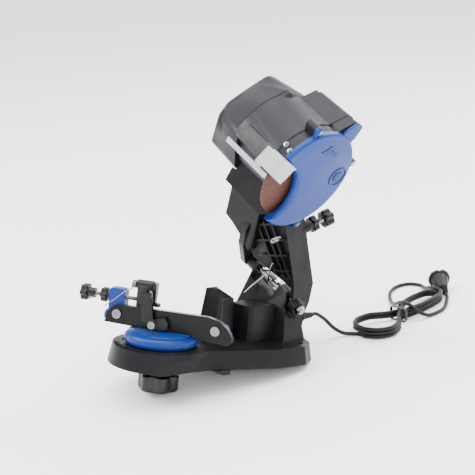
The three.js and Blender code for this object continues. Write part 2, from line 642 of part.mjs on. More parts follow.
const railHoles = RAIL_SCREWS.map((middle) => rod("y", 3 + GAP, -40, 60, viseFrame, 16, middle));
const clampHole = rod("y", 3 + GAP, -40, 60, viseFrame, 16, CLAMP_AT);
add("vise_carrier", makeCarrier([...railHoles, clampHole]), bluePlastic);
add("rail_near", makeRail(rail.near, [...railHoles, clampHole]), blackSteel);
add("rail_far", makeRail(rail.far, [...railHoles, clampHole]), blackSteel);
RAIL_SCREWS.forEach((middle, i) => {
  const name = ["rail_screw_left", "rail_screw_right"][i];
  add(name, panScrew("y", 6.8, 3.4, 3, rail.near - 3.4 - GAP, 18, viseFrame, middle), steel);
});
add("clamp_screw", panScrew("y", 5.4, 3, 3, rail.near - 12 - GAP, 18, viseFrame, CLAMP_AT), steel);
add("clamp_lever", makeClampLever(), blackPlastic);
add("stop_block", makeStopBlock(), bluePlastic);
add("stop_bracket", makeStopBracket(), blackPlastic);
add("stop_pawl", makeStopPawl(), blackPlastic);
add("pawl_spring", makePawlSpring(), steel);
add("adjuster_screw", makeAdjusterScrew(), blackPlastic);
add("adjuster_lock_knob", makeAdjusterLockKnob(), blackPlastic);
add("swivel_bolt", makeSwivelBolt(), steel);
add("swivel_washer", makeSwivelWasher(), steel);
add("swivel_lock_knob", makeSwivelKnob(), blackPlastic);

add("pivot_axle", rod("x", axleR, -29, 112, tiltFrame, 24), steel);
add("pivot_nut_near", nutOnAxle(106 + GAP, 112 + GAP, 115), steel);
add("pivot_nut_far", nutOnAxle(-29.5, -23 - GAP, null), steel);
add("spring_collar", ringX(10, axleR + GAP, 55, 62, tiltFrame, 24), steel);
add("torsion_spring", makeTorsionSpring(), steel);
add("arm", makeArm(), darkCasting);
add("depth_screw", makeDepthScrew(), steel);
add("depth_lock_knob", makeDepthLockKnob(), blackPlastic);

add("housing_near", makeNearHousing(), blackPlastic);
add("housing_far", makeFarHousing(), blackPlastic);
add("motor_tube", makeMotorTube(), blackPlastic);
add("stator", ringX(motor.tubeR - motor.wall - GAP, 28, -102, -48, headFrame), copper);
add("rotor", makeRotor(), steel);
add("bearing_near", ringX(12, 6 + GAP, -26, -12, headFrame, 32), steel);
add("bearing_far", ringX(12, 6 + GAP, -132, -124, headFrame, 32), steel);
add("far_bearing_plate", makeFarBearingPlate(), blackPlastic);
add("fan", makeFan(), blackPlastic);
add("flange_inner", ringX(20, 6 + GAP, -7, -wheel.thick - GAP, headFrame), steel);
add("grinding_wheel", ringX(wheel.r, wheel.bore, -wheel.thick, 0, headFrame, 44), abrasive);
add("flange_outer", ringX(17, 6 + GAP, GAP, 4, headFrame), steel);
add("wheel_nut", cut(plate("x", hexagon(16, [0, 0]), 4 + GAP, 10, headFrame), rod("x", 6 + GAP, 0, 20, headFrame)), steel);
add("cover", makeCover(), bluePlastic);
COVER_SCREWS.forEach((middle, i) => {
  const shank = rod("x", 2, -6, cover.front - 5, headFrame, 12, middle);
  const topPart = rod("x", 3.4, cover.front - 4 + GAP, cover.front - 1, headFrame, 16, middle);
  const neck = rod("x", 2, cover.front - 5.1, cover.front - 3, headFrame, 12, middle);
  add(`cover_screw_${i + 1}`, join(shank, neck, topPart), steel);
});
add("visor_rail", makeVisorRail(), clear);
add("visor_shield", makeVisorShield(), clear);

add("switch_frame", makeSwitchFrame(), blackPlastic);
add("switch_rocker", makeSwitchRocker(), bluePlastic);
add("cord_gland", makeGland(), rubber);

// The machine stands on its lock knob and on its rear edge.
machine.rotation.x = -Math.atan(tanPitch);
machine.updateMatrixWorld(true);
const stance = new THREE.Box3().setFromObject(machine, true);
const middle = stance.getCenter(new THREE.Vector3());
machine.position.set(-middle.x, -middle.y, -stance.min.z);
machine.updateMatrixWorld(true);

// The cord leaves the gland, falls to the floor and runs into a tied hank. One loose loop stands out
// of the hank, and a tail runs from its tie to the plug. Plan points are from the vise's turning axis.
const floorFrame = new THREE.Matrix4().makeTranslation(-middle.x, -middle.y, 0);
const hankHeight = 15.4;
const hankOutline = [
  [92, 331], [104, 331], [128, 324], [150, 332], [161, 352], [157, 384], [144, 404], [139, 414], [139, 430],
  [149, 434], [141, 441], [144, 470], [144, 515], [136, 538], [122, 546], [108, 547], [98, 537], [97, 500],
  [101, 462], [109, 447], [101, 440], [110, 430], [110, 414], [102, 404], [88, 386], [84, 352],
];
const tube = (points, steps) => wire(points, cordR, steps, 8, floorFrame);
const glandEnd = new THREE.Vector3(gland.at[0], gland.tail + GAP, gland.at[1])
  .applyMatrix4(machine.matrixWorld)
  .applyMatrix4(floorFrame.clone().invert());
const down = new THREE.Vector3(0, 1, -tanPitch).normalize();
const leadPoints = [
  glandEnd.toArray(),
  glandEnd.clone().addScaledVector(down, 12).toArray(),
  [77, 286, 38], [82, 301, 20], [93, 313, 7.5], [98, 322, 5], [98, 330.7, 4.8],
];
add("cord_lead", tube(leadPoints, 14), rubber, group);
add("cord_hank", plate("z", hankOutline, 1.4, hankHeight, floorFrame), rubber, group);
const tie = cut(
  block([108.5, 140.5], [419, 425], [0.1, hankHeight + 1.4], floorFrame),
  block([109.7, 139.3], [410, 430], [1.1, hankHeight + GAP], floorFrame),
);
add("cord_tie", tie, rubber, group);
const loopPoints = [
  [104.8, 443.75, 4.8], [97, 452.7, 4.8], [68, 485, 3.4], [48, 520, 3.4], [42, 552, 3.4], [50, 575, 3.4],
  [68, 577, 3.4], [84, 562, 3.6], [94.3, 550.7, 4.8], [102.8, 542.2, 4.8],
];
add("cord_loop", tube(loopPoints, 26), rubber, group);

const plugFrame = floorFrame
  .clone()
  .multiply(new THREE.Matrix4().makeTranslation(98, 585, 19.6))
  .multiply(new THREE.Matrix4().makeRotationZ(rad(-43)))
  .multiply(new THREE.Matrix4().makeRotationY(rad(15)));
const plugRing = (r, x) => circle(r, 20).map(([y, z]) => [x, y, z]);
const flange = rod("x", 19, -3, 3, plugFrame, 28);
const notches = [1, -1].map((side) => block([-5, 5], side > 0 ? [16.4, 22] : [-22, -16.4], [-2.6, 2.6], plugFrame));
const plugBody = loft(plugRing(15, 2.9), plugRing(8, 30), "x", plugFrame);
const boot = loft(plugRing(8, 29.9), plugRing(4.2, 46), "x", plugFrame);
const pinAt = 9.5;
const pinHoles = [pinAt, -pinAt].map((y) => rod("x", 2.4 + GAP, -5, 8, plugFrame, 16, [y, 0]));
add("plug_body", cut(join(flange, plugBody, boot), ...notches, ...pinHoles), rubber, group);
[pinAt, -pinAt].forEach((y, i) => {
  add(["plug_pin_left", "plug_pin_right"][i], rod("x", 2.4, -22, 7, plugFrame, 16, [y, 0]), brass, group);
});
const bootEnd = new THREE.Vector3(46 + GAP, 0, 0).applyMatrix4(plugFrame).applyMatrix4(floorFrame.clone().invert());
const bootAhead = new THREE.Vector3(56, 0, 0).applyMatrix4(plugFrame).applyMatrix4(floorFrame.clone().invert());
const tailPoints = [
  bootEnd.toArray(), bootAhead.toArray(), [150, 532, 3.6], [158, 507, 3.4], [161, 480, 3.4], [157, 454, 3.8],
  [153.2, 447, 4.8], [145.25, 437.75, 4.8],
];
add("cord_tail", tube(tailPoints, 16), rubber, group);

export default group;
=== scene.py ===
"""A bench grinder for saw chains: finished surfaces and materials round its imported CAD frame."""

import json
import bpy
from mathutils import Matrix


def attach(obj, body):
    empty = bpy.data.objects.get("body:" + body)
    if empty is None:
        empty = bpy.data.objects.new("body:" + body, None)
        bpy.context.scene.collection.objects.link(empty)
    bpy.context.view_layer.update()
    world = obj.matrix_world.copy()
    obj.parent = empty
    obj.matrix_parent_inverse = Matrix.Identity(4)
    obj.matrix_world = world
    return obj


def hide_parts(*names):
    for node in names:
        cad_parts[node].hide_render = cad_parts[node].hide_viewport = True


bl_info = {
    "name": "Bench Chain Grinder",
    "version": (1, 0, 0),
    "blender": (4, 5, 0),
    "location": "View3D > Sidebar > Grinder",
    "description": "Builds the finished pieces, materials, lights and camera of a bench chain grinder",
    "category": "Object",
}

from math import radians

import bmesh
import bpy
import numpy as np
from bpy.props import FloatProperty, FloatVectorProperty, PointerProperty
from mathutils import Matrix, Vector

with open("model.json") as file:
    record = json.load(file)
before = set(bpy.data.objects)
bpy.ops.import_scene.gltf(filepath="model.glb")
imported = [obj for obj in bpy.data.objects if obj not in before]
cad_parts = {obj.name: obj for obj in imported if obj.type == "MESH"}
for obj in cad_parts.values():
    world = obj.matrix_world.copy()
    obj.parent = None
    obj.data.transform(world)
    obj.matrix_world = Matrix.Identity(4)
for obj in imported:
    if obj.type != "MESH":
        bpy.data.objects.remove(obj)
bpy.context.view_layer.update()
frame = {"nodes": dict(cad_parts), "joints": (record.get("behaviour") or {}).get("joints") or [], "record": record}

MM = 0.001
JOINTS = {joint["name"]: joint for joint in frame["joints"]}
BENCH_FACE = frame["record"]["mounts"][0]
COVER_BACK = 8.2  # how far the cover's rear rim and its flat face stand out along the wheel's axis, mm
COVER_FACE = 16.4
BENCH_FACE_BACK = 120.0  # the bench face's point lies this far behind the vise's axis
BODY_OF = {
    node: body
    for body, nodes in frame["record"]["behaviour"]["bodies"].items()
    for node in nodes
}
VISE_TURN = radians(25)
PLUG_AT = (98.0, 585.0, 19.6)
PLUG_TURN = radians(-43)
PLUG_DIP = radians(15)
GLAND_AT = (75.0, 250.3, 58.0)


# ---------- frames: 4 x 4 matrices from millimetres in a piece's own axes to the row's metres ----------
def axes_frame(x_axis, y_axis, origin):
    """A frame with the given X and Y directions and an origin in metres."""
    x_axis = np.array(x_axis, float) / np.linalg.norm(x_axis)
    z_axis = np.cross(x_axis, y_axis)
    z_axis /= np.linalg.norm(z_axis)
    matrix = np.eye(4)
    matrix[:3, :3] = np.stack([x_axis, np.cross(z_axis, x_axis), z_axis], axis=1) * MM
    matrix[:3, 3] = origin
    return matrix


def shifted(matrix, x, y, z):
    """The frame moved along its own axes."""
    return matrix @ np.array(Matrix.Translation((x, y, z)))


def turned(matrix, angle, axis):
    """The frame turned about one of its own axes."""
    return matrix @ np.array(Matrix.Rotation(angle, 4, axis))


def machine_frame():
    """The level machine: Z up the vise's axis from the base's underside, Y to the rear."""
    up = -np.array(BENCH_FACE["axis"])
    rear = np.cross(up, (1, 0, 0))
    origin = np.array(BENCH_FACE["pos_m"]) - rear * BENCH_FACE_BACK * MM
    return axes_frame((1, 0, 0), rear, origin)


MACHINE = machine_frame()
VISE = turned(MACHINE, VISE_TURN, "Z")
TILT = turned(shifted(MACHINE, 0, 195, 130.7), radians(30), "Y")
HEAD = axes_frame(JOINTS["wheel_spin"]["axis"], MACHINE[:3, 1], JOINTS["wheel_spin"]["pos_m"])
DEPTH = turned(turned(shifted(TILT, 38, -53, 78), radians(-158.6), "X"), radians(90), "Z")
FLOOR = axes_frame((1, 0, 0), (0, 1, 0), (MACHINE[0, 3], 0, 0))
FLOOR_BACK = 0.1087  # from the vise's axis back to the middle of the footprint, before the tip
FLOOR[1, 3] = -FLOOR_BACK
PLUG = turned(turned(shifted(FLOOR, *PLUG_AT), PLUG_TURN, "Z"), PLUG_DIP, "Y")


def placed(points, matrix):
    """Points in a frame's millimetres, as points in the row's metres."""
    return np.asarray(points, float) @ matrix[:3, :3].T + matrix[:3, 3]


# ---------- surfaces ----------
def new_piece(name, points, faces):
    """A mesh object at the origin from an array of points and a list of faces, shaded smooth."""
    mesh = bpy.data.meshes.new(name)
    mesh.from_pydata(points.tolist(), [], faces)
    mesh.validate()
    shape = bmesh.new()
    shape.from_mesh(mesh)
    bmesh.ops.recalc_face_normals(shape, faces=shape.faces)
    if shape.calc_volume(signed=True) < 0:
        bmesh.ops.reverse_faces(shape, faces=shape.faces)
    shape.to_mesh(mesh)
    shape.free()
    mesh.polygons.foreach_set("use_smooth", np.ones(len(mesh.polygons), bool))
    mesh.set_sharp_from_angle(angle=radians(38))
    piece = bpy.data.objects.new(name, mesh)
    bpy.context.scene.collection.objects.link(piece)
    return piece


def ring_faces(rings, sides, closed_ends):
    """Quads between each ring of a grid and the next, and one flat face on each end."""
    first = np.arange(rings - 1)[:, None] * sides
    side = np.arange(sides)[None, :]
    following = (side + 1) % sides
    quads = np.stack(
        [first + side, first + following, first + sides + following, first + sides + side], axis=-1
    ).reshape(-1, 4)
    faces = quads.tolist()
    if closed_ends:
        faces.append(list(range(sides - 1, -1, -1)))
        faces.append(list(range((rings - 1) * sides, rings * sides)))
    else:
        last = (rings - 1) * sides
        joins = np.stack(
            [last + side[0], last + following[0], following[0], side[0]], axis=-1
        )
        faces.extend(joins.tolist())
    return faces


def skin(name, grid, matrix, closed_ends=True):
    """A surface over a grid of rings. grid[i, j] is point j of ring i, in the frame's millimetres."""
    rings, sides = grid.shape[:2]
    points = placed(grid.reshape(-1, 3), matrix)
    return new_piece(name, points, ring_faces(rings, sides, closed_ends))


def rounded(corners, reach, steps=4):
    """An open line of corners, each inner corner P replaced by the curve
    (1-t)^2 A + 2t(1-t) P + t^2 B, with A and B the points a reach away along the two sides."""
    corners = np.asarray(corners, float)
    t = np.linspace(0, 1, steps + 1)[:, None]
    line = [corners[:1]]
    for before, here, after in zip(corners[:-2], corners[1:-1], corners[2:]):
        back, ahead = before - here, after - here
        cut_back = min(reach, np.linalg.norm(back) / 2.05)
        cut_ahead = min(reach, np.linalg.norm(ahead) / 2.05)
        a = here + back / np.linalg.norm(back) * cut_back
        b = here + ahead / np.linalg.norm(ahead) * cut_ahead
        line.append((1 - t) ** 2 * a + 2 * t * (1 - t) * here + t**2 * b)
    line.append(corners[-1:])
    return np.concatenate(line)


def round_grid(stations, radius, angle):
    """Rings about the X axis: point j of ring i is at stations[i], radius[i, j] out at angle[j]."""
    along = np.repeat(stations[:, None], len(angle), axis=1)
    return np.stack([along, radius * np.cos(angle), radius * np.sin(angle)], axis=-1)


def turned_piece(name, profile, matrix, sides=64, reach=None, closed_ends=True):
    """A round piece about the frame's X axis: ring i has radius profile[i][1] at x profile[i][0],
    and reach(angle) multiplies the radius where the piece isn't quite round."""
    profile = np.asarray(profile, float)
    angle = np.linspace(0, 2 * np.pi, sides, endpoint=False)
    factor = np.ones(sides) if reach is None else reach(angle)
    radius = profile[:, 1][:, None] * factor[None, :]
    return skin(name, round_grid(profile[:, 0], radius, angle), matrix, closed_ends)


def curve_through(points, per_span=12, tension=0.5):
    """A smooth line through points: between P1 and P2 the cubic with end slopes
    tension (P2 - P0) and tension (P3 - P1)."""
    points = np.asarray(points, float)
    padded = np.concatenate([[2 * points[0] - points[1]], points, [2 * points[-1] - points[-2]]])
    t = np.linspace(0, 1, per_span, endpoint=False)[None, :, None]
    p0, p1, p2, p3 = (padded[i : len(padded) - 3 + i][:, None, :] for i in range(4))
    m1 = tension * (p2 - p0)
    m2 = tension * (p3 - p1)
    spans = (
        (2 * t**3 - 3 * t**2 + 1) * p1
        + (t**3 - 2 * t**2 + t) * m1
        + (3 * t**2 - 2 * t**3) * p2
        + (t**3 - t**2) * m2
    )
    return np.concatenate([spans.reshape(-1, 3), points[-1:]])


def evenly(line, spacing):
    """The same line with its points a fixed distance apart."""
    length = np.concatenate([[0], np.cumsum(np.linalg.norm(np.diff(line, axis=0), axis=1))])
    stations = np.linspace(0, length[-1], max(2, int(round(length[-1] / spacing)) + 1))
    return np.stack([np.interp(stations, length, line[:, k]) for k in range(3)], axis=1)


def tube_grid(line, radius, sides, up):
    """Circles of a radius round a line. Each circle's first axis is the line's direction
    crossed with up, and its second is square to both."""
    ahead = np.gradient(line, axis=0)
    ahead /= np.linalg.norm(ahead, axis=1)[:, None]
    side = np.cross(ahead, up)
    side /= np.linalg.norm(side, axis=1)[:, None]
    lift = np.cross(side, ahead)
    angle = np.linspace(0, 2 * np.pi, sides, endpoint=False)
    radius = np.broadcast_to(np.asarray(radius, float), (len(line),))
    ring = side[:, None, :] * np.cos(angle)[None, :, None] + lift[:, None, :] * np.sin(angle)[None, :, None]
    return line[:, None, :] + ring * radius[:, None, None]


def wire_piece(name, points, radius, matrix, up, spacing=1.2, sides=14, tension=0.4):
    """A round wire along a smooth line, with its ends rounded off over half a radius."""
    line = evenly(curve_through(points, 14, tension), spacing)
    reach = np.full(len(line), radius)
    reach[[0, -1]] = radius * 0.55
    return skin(name, tube_grid(line, reach, sides, up), matrix)


def lobes(count, depth):
    """How far a hand knob's edge stands at an angle: 1 less depth |sin(count angle / 2)|^3."""
    return lambda angle: 1 - depth * np.abs(np.sin(count * angle / 2)) ** 3


def cross_head(name, middle, radius, height, base, matrix, facing=1, slots=2):
    """A domed screw head. Its height over the seat is height (1 - 0.45 (r/R)^3), less a smooth
    cross or slot cut into the middle where |u| or |v| is small. It faces along the frame's X."""
    rings, sides = 26, 64
    angle = np.linspace(0, 2 * np.pi, sides, endpoint=False)
    reach = np.linspace(0.02, 1, rings)
    u = reach[:, None] * np.cos(angle)
    v = reach[:, None] * np.sin(angle)
    half, run = 0.17, 0.66
    fade = 1 / (1 + np.exp((np.hypot(u, v) - run) * 40))
    groove = 1 / (1 + np.exp((np.abs(v) - half) * 60))
    if slots == 2:
        groove = np.maximum(groove, 1 / (1 + np.exp((np.abs(u) - half) * 60)))
    dome = height * (1 - 0.45 * (reach[:, None] ** 3)) - 0.85 * height * groove * fade
    top = np.stack([base + facing * dome, middle[0] + radius * u, middle[1] + radius * v], axis=-1)
    foot = top[-1:].copy()
    foot[..., 0] = base
    grid = np.concatenate([top, foot])
    return skin(name, grid, matrix)


def flat_piece(name, outline, low, high, matrix, edge=0.4, axis="x"):
    """An outline pushed along an axis, its two rims drawn in by edge over the last edge of depth."""
    outline = np.asarray(outline, float)
    before = outline - np.roll(outline, 1, axis=0)
    after = np.roll(outline, -1, axis=0) - outline
    normal = np.stack([-before[:, 1] - after[:, 1], before[:, 0] + after[:, 0]], axis=1)
    normal /= np.linalg.norm(normal, axis=1)[:, None]
    area = np.sum(outline[:, 0] * np.roll(outline[:, 1], -1) - outline[:, 1] * np.roll(outline[:, 0], -1))
    drawn_in = outline + normal * np.sign(area) * edge
    stations = [(low, drawn_in), (low + edge, outline), (high - edge, outline), (high, drawn_in)]
    order = {"x": (0, 1, 2), "y": (1, 0, 2), "z": (1, 2, 0)}[axis]
    rows = []
    for depth, line in stations:
        columns = np.stack([np.full(len(line), depth), line[:, 0], line[:, 1]], axis=1)
        rows.append(columns[:, order])
    return skin(name, np.stack(rows), matrix)


def dressed(node, material, edge=0.0006, segments=2, smooth=32):
    """A CAD node's own shape as one merged surface with soft edges: its loose triangles joined,
    its flat faces made whole, and each corner sharper than the smooth angle rounded over."""
    shape = bmesh.new()
    shape.from_mesh(frame["nodes"][node].data)
    bmesh.ops.remove_doubles(shape, verts=shape.verts, dist=2e-5)
    bmesh.ops.dissolve_limit(
        shape, angle_limit=radians(0.8), verts=shape.verts, edges=shape.edges, use_dissolve_boundaries=False
    )
    mesh = bpy.data.meshes.new(node + "_finished")
    shape.to_mesh(mesh)
    shape.free()
    mesh.polygons.foreach_set("use_smooth", np.ones(len(mesh.polygons), bool))
    mesh.set_sharp_from_angle(angle=radians(smooth))
    piece = bpy.data.objects.new(node + "_finished", mesh)
    bpy.context.scene.collection.objects.link(piece)
    if edge:
        bevel = piece.modifiers.new("soft edges", "BEVEL")
        bevel.width = edge
        bevel.segments = segments
        bevel.limit_method = "ANGLE"
        bevel.angle_limit = radians(smooth)
        bevel.harden_normals = True
    settle(piece, material, node)
    return piece


def settle(piece, material, *nodes, body=None):
    """Gives a piece its material, lets it ride on its body, and stands it in for CAD nodes."""
    piece.data.materials.clear()
    piece.data.materials.append(bpy.data.materials[material])
    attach(piece, body or BODY_OF[nodes[0]])
    if nodes:
        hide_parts(*nodes)
    return piece


def painted_highlight_rims(piece, material, across):
    """Gives a plate's rim its own lighter steel material, a painted highlight along the plate's edges: each face
    that doesn't look along the across axis.
    """
    piece.data.materials.append(bpy.data.materials[material])
    across = Vector(across).normalized()
    for face in piece.data.polygons:
        if abs(face.normal.dot(across)) < 0.7:
            face.material_index = 1


def finish_node(node, material):
    """A CAD node that keeps its own mesh and takes a finished material."""
    slots = frame["nodes"][node].data.materials
    slots.clear()
    slots.append(bpy.data.materials[material])


# ---------- materials ----------
def node_group(name, inputs, outputs):
    """An empty shader group with its sockets, and the two nodes at its ends."""
    tree = bpy.data.node_groups.new(name, "ShaderNodeTree")
    for label, value in inputs:
        kind = "NodeSocketVector" if label == "Vector" else "NodeSocketFloat"
        socket = tree.interface.new_socket(name=label, in_out="INPUT", socket_type=kind)
        if label != "Vector":
            socket.default_value = value
    for label in outputs:
        tree.interface.new_socket(name=label, in_out="OUTPUT", socket_type="NodeSocketFloat")
    return tree, tree.nodes.new("NodeGroupInput"), tree.nodes.new("NodeGroupOutput")


def add_node(tree, kind, values=()):
    """A shader node of a kind, with values for the inputs that differ from its own."""
    node = tree.nodes.new("ShaderNode" + kind)
    for label, value in dict(values).items():
        node.inputs[label].default_value = value
    return node


def math_node(tree, operation, factor):
    """A math node whose second input is a fixed factor."""
    node = add_node(tree, "Math", {1: factor})
    node.operation = operation
    return node


def link(tree, *pairs):
    """Joins the two sockets of each pair."""
    for source, target in pairs:
        tree.links.new(source, target)


def scaled(colour, factor, lift=0.0):
    """A colour times a factor, with a little added to each channel."""
    return tuple(channel * factor + lift for channel in colour)


def grain_group():
    """Moulded or cast grain: fine noise laid over small round cells, as one height."""
    tree, start, end = node_group("surface grain", [("Vector", None), ("Size", 1400.0)], ["Height"])
    noise = add_node(tree, "TexNoise", {"Scale": 1.0, "Detail": 4.0, "Roughness": 0.55})
    cells = add_node(tree, "TexVoronoi")
    cells.feature = "SMOOTH_F1"
    half = math_node(tree, "MULTIPLY", 0.6)
    mix = math_node(tree, "MULTIPLY_ADD", 0.5)
    link(
        tree,
        (start.outputs["Vector"], noise.inputs["Vector"]),
        (start.outputs["Vector"], cells.inputs["Vector"]),
        (start.outputs["Size"], noise.inputs["Scale"]),
        (start.outputs["Size"], half.inputs[0]),
        (half.outputs[0], cells.inputs["Scale"]),
        (noise.outputs[0], mix.inputs[0]),
        (cells.outputs["Distance"], mix.inputs[2]),
        (mix.outputs[0], end.inputs["Height"]),
    )


def handling_group():
    """Marks of use: Dust is a soft patchy mask and Rub a mask of fine broken streaks."""
    tree, start, end = node_group(
        "handling marks", [("Vector", None), ("Dust Size", 18.0), ("Rub Size", 60.0)], ["Dust", "Rub"]
    )
    for size, output, stretch, low, high in (
        ("Dust Size", "Dust", (1, 1, 1), 0.42, 0.72),
        ("Rub Size", "Rub", (1, 1, 9), 0.56, 0.74),
    ):
        mapping = add_node(tree, "Mapping", {"Scale": stretch})
        noise = add_node(tree, "TexNoise", {"Scale": 1.0, "Detail": 6.0, "Roughness": 0.62})
        limits = add_node(tree, "MapRange", {"From Min": low, "From Max": high})
        link(
            tree,
            (start.outputs["Vector"], mapping.inputs["Vector"]),
            (mapping.outputs[0], noise.inputs["Vector"]),
            (start.outputs[size], noise.inputs["Scale"]),
            (noise.outputs[0], limits.inputs["Value"]),
            (limits.outputs[0], end.inputs[output]),
        )


def finish_material(
    name, colour, worn, rough, metallic=0.0, coat=0.0, size=1400.0, depth=0.00004, stretch=None, specular=0.5
):
    """A finish of one base colour: patches move it towards the worn colour, streaks and patches
    move its roughness between two values, and the grain is its bump."""
    material = bpy.data.materials.new(name)
    material.use_nodes = True
    tree = material.node_tree
    shader = tree.nodes["Principled BSDF"]
    shader.inputs["Metallic"].default_value = metallic
    shader.inputs["Specular IOR Level"].default_value = specular
    shader.inputs["Coat Weight"].default_value = coat
    shader.inputs["Coat Roughness"].default_value = 0.12
    place = add_node(tree, "TexCoord").outputs["Object"]
    source = place
    if stretch:
        mapping = add_node(tree, "Mapping", {"Scale": stretch})
        link(tree, (place, mapping.inputs["Vector"]))
        source = mapping.outputs[0]
    marks = add_node(tree, "Group")
    marks.node_tree = bpy.data.node_groups["handling marks"]
    grain = add_node(tree, "Group")
    grain.node_tree = bpy.data.node_groups["surface grain"]
    grain.inputs["Size"].default_value = size
    tone = add_node(tree, "Mix")
    tone.data_type = "RGBA"
    tone.inputs["A"].default_value = (*colour, 1)
    tone.inputs["B"].default_value = (*worn, 1)
    sheen = add_node(tree, "MapRange", {"To Min": rough[0], "To Max": rough[1]})
    blend = math_node(tree, "MULTIPLY_ADD", 0.5)
    bump = add_node(tree, "Bump", {"Strength": 1.0, "Distance": depth})
    link(
        tree,
        (place, marks.inputs["Vector"]),
        (source, grain.inputs["Vector"]),
        (marks.outputs["Dust"], tone.inputs["Factor"]),
        (tone.outputs["Result"], shader.inputs["Base Color"]),
        (marks.outputs["Rub"], blend.inputs[0]),
        (marks.outputs["Dust"], blend.inputs[2]),
        (blend.outputs[0], sheen.inputs["Value"]),
        (sheen.outputs[0], shader.inputs["Roughness"]),
        (grain.outputs["Height"], bump.inputs["Height"]),
        (bump.outputs[0], shader.inputs["Normal"]),
    )
    return material


def grit_material(name, colour):
    """Bonded grit: cells of darker and lighter brown, with sparse pale and sparkling grains."""
    worn = scaled(colour, 0.8)
    material = finish_material(name, colour, worn, (0.75, 0.92), size=1500, depth=0.0002)
    tree = material.node_tree
    place = next(node for node in tree.nodes if node.type == "TEX_COORD")
    cells = add_node(tree, "TexVoronoi", {"Scale": 1300})
    ramp = add_node(tree, "ValToRGB")
    stops = [
        (0.0, scaled(colour, 0.55)), (0.45, colour),
        (0.9, scaled(colour, 1.3, 0.003)), (1.0, (0.14, 0.07, 0.045)),
    ]
    while len(ramp.color_ramp.elements) < len(stops):
        ramp.color_ramp.elements.new(0.5)
    for element, (at, tint) in zip(ramp.color_ramp.elements, stops):
        element.position = at
        element.color = (*tint, 1)
    spread = add_node(tree, "SeparateColor")
    link(
        tree,
        (place.outputs["Object"], cells.inputs["Vector"]),
        (cells.outputs["Color"], spread.inputs[0]),
        (spread.outputs[0], ramp.inputs[0]),
        (ramp.outputs[0], tree.nodes["Principled BSDF"].inputs["Base Color"]),
    )
    return material


def clear_material(name):
    """Clear sheet with a faint frost from handling."""
    sheet, frost = (0.62, 0.63, 0.67), (0.5, 0.51, 0.55)
    material = finish_material(name, sheet, frost, (0.06, 0.25), size=900, depth=0.00001)
    shader = material.node_tree.nodes["Principled BSDF"]
    shader.inputs["Transmission Weight"].default_value = 0.45
    shader.inputs["IOR"].default_value = 1.49
    return material


def colour_property(name, description, default):
    """A colour that the panel shows."""
    return FloatVectorProperty(
        name=name, description=description, subtype="COLOR", min=0, max=1, default=default
    )


def length_property(name, description, default, low, high):
    """A length in metres that the panel shows, with its limits."""
    return FloatProperty(
        name=name, description=description, subtype="DISTANCE", unit="LENGTH",
        default=default, min=low, max=high,
    )


class GrinderColours(bpy.types.PropertyGroup):
    """The colours of the machine's finishes."""

    casting: colour_property(
        "Casting paint", "Black paint on the base and the arm", (0.0035, 0.0036, 0.0042)
    )
    plastic: colour_property(
        "Housing plastic", "Black moulded plastic of the motor housing", (0.0065, 0.0066, 0.0085)
    )
    blue: colour_property(
        "Blue", "Blue of the cover, the turntable and the vise", (0.0004, 0.024, 0.165)
    )
    grit: colour_property("Grinding wheel", "Bonded grit of the wheel", (0.062, 0.0165, 0.0075))
    sheath: colour_property("Cord sheath", "Rubber of the cord and its plug", (0.004, 0.004, 0.005))
    floor: colour_property("Floor", "The plain floor under the machine", (0.97, 0.97, 0.97))


class GrinderSizes(bpy.types.PropertyGroup):
    """The sizes a user would change, in metres."""

    casting_edge: length_property(
        "Casting edge", "Radius of the soft edges on the castings", 0.0011, 0.0001, 0.003
    )
    plastic_edge: length_property(
        "Plastic edge", "Radius of the soft edges on the mouldings", 0.0009, 0.0001, 0.003
    )
    cord_radius: length_property(
        "Cord radius", "Half the thickness of the mains cord", 0.0031, 0.002, 0.005
    )
    camera_distance: length_property(
        "Camera distance", "From the camera to the vise's axis", 1.5963, 0.5, 5
    )


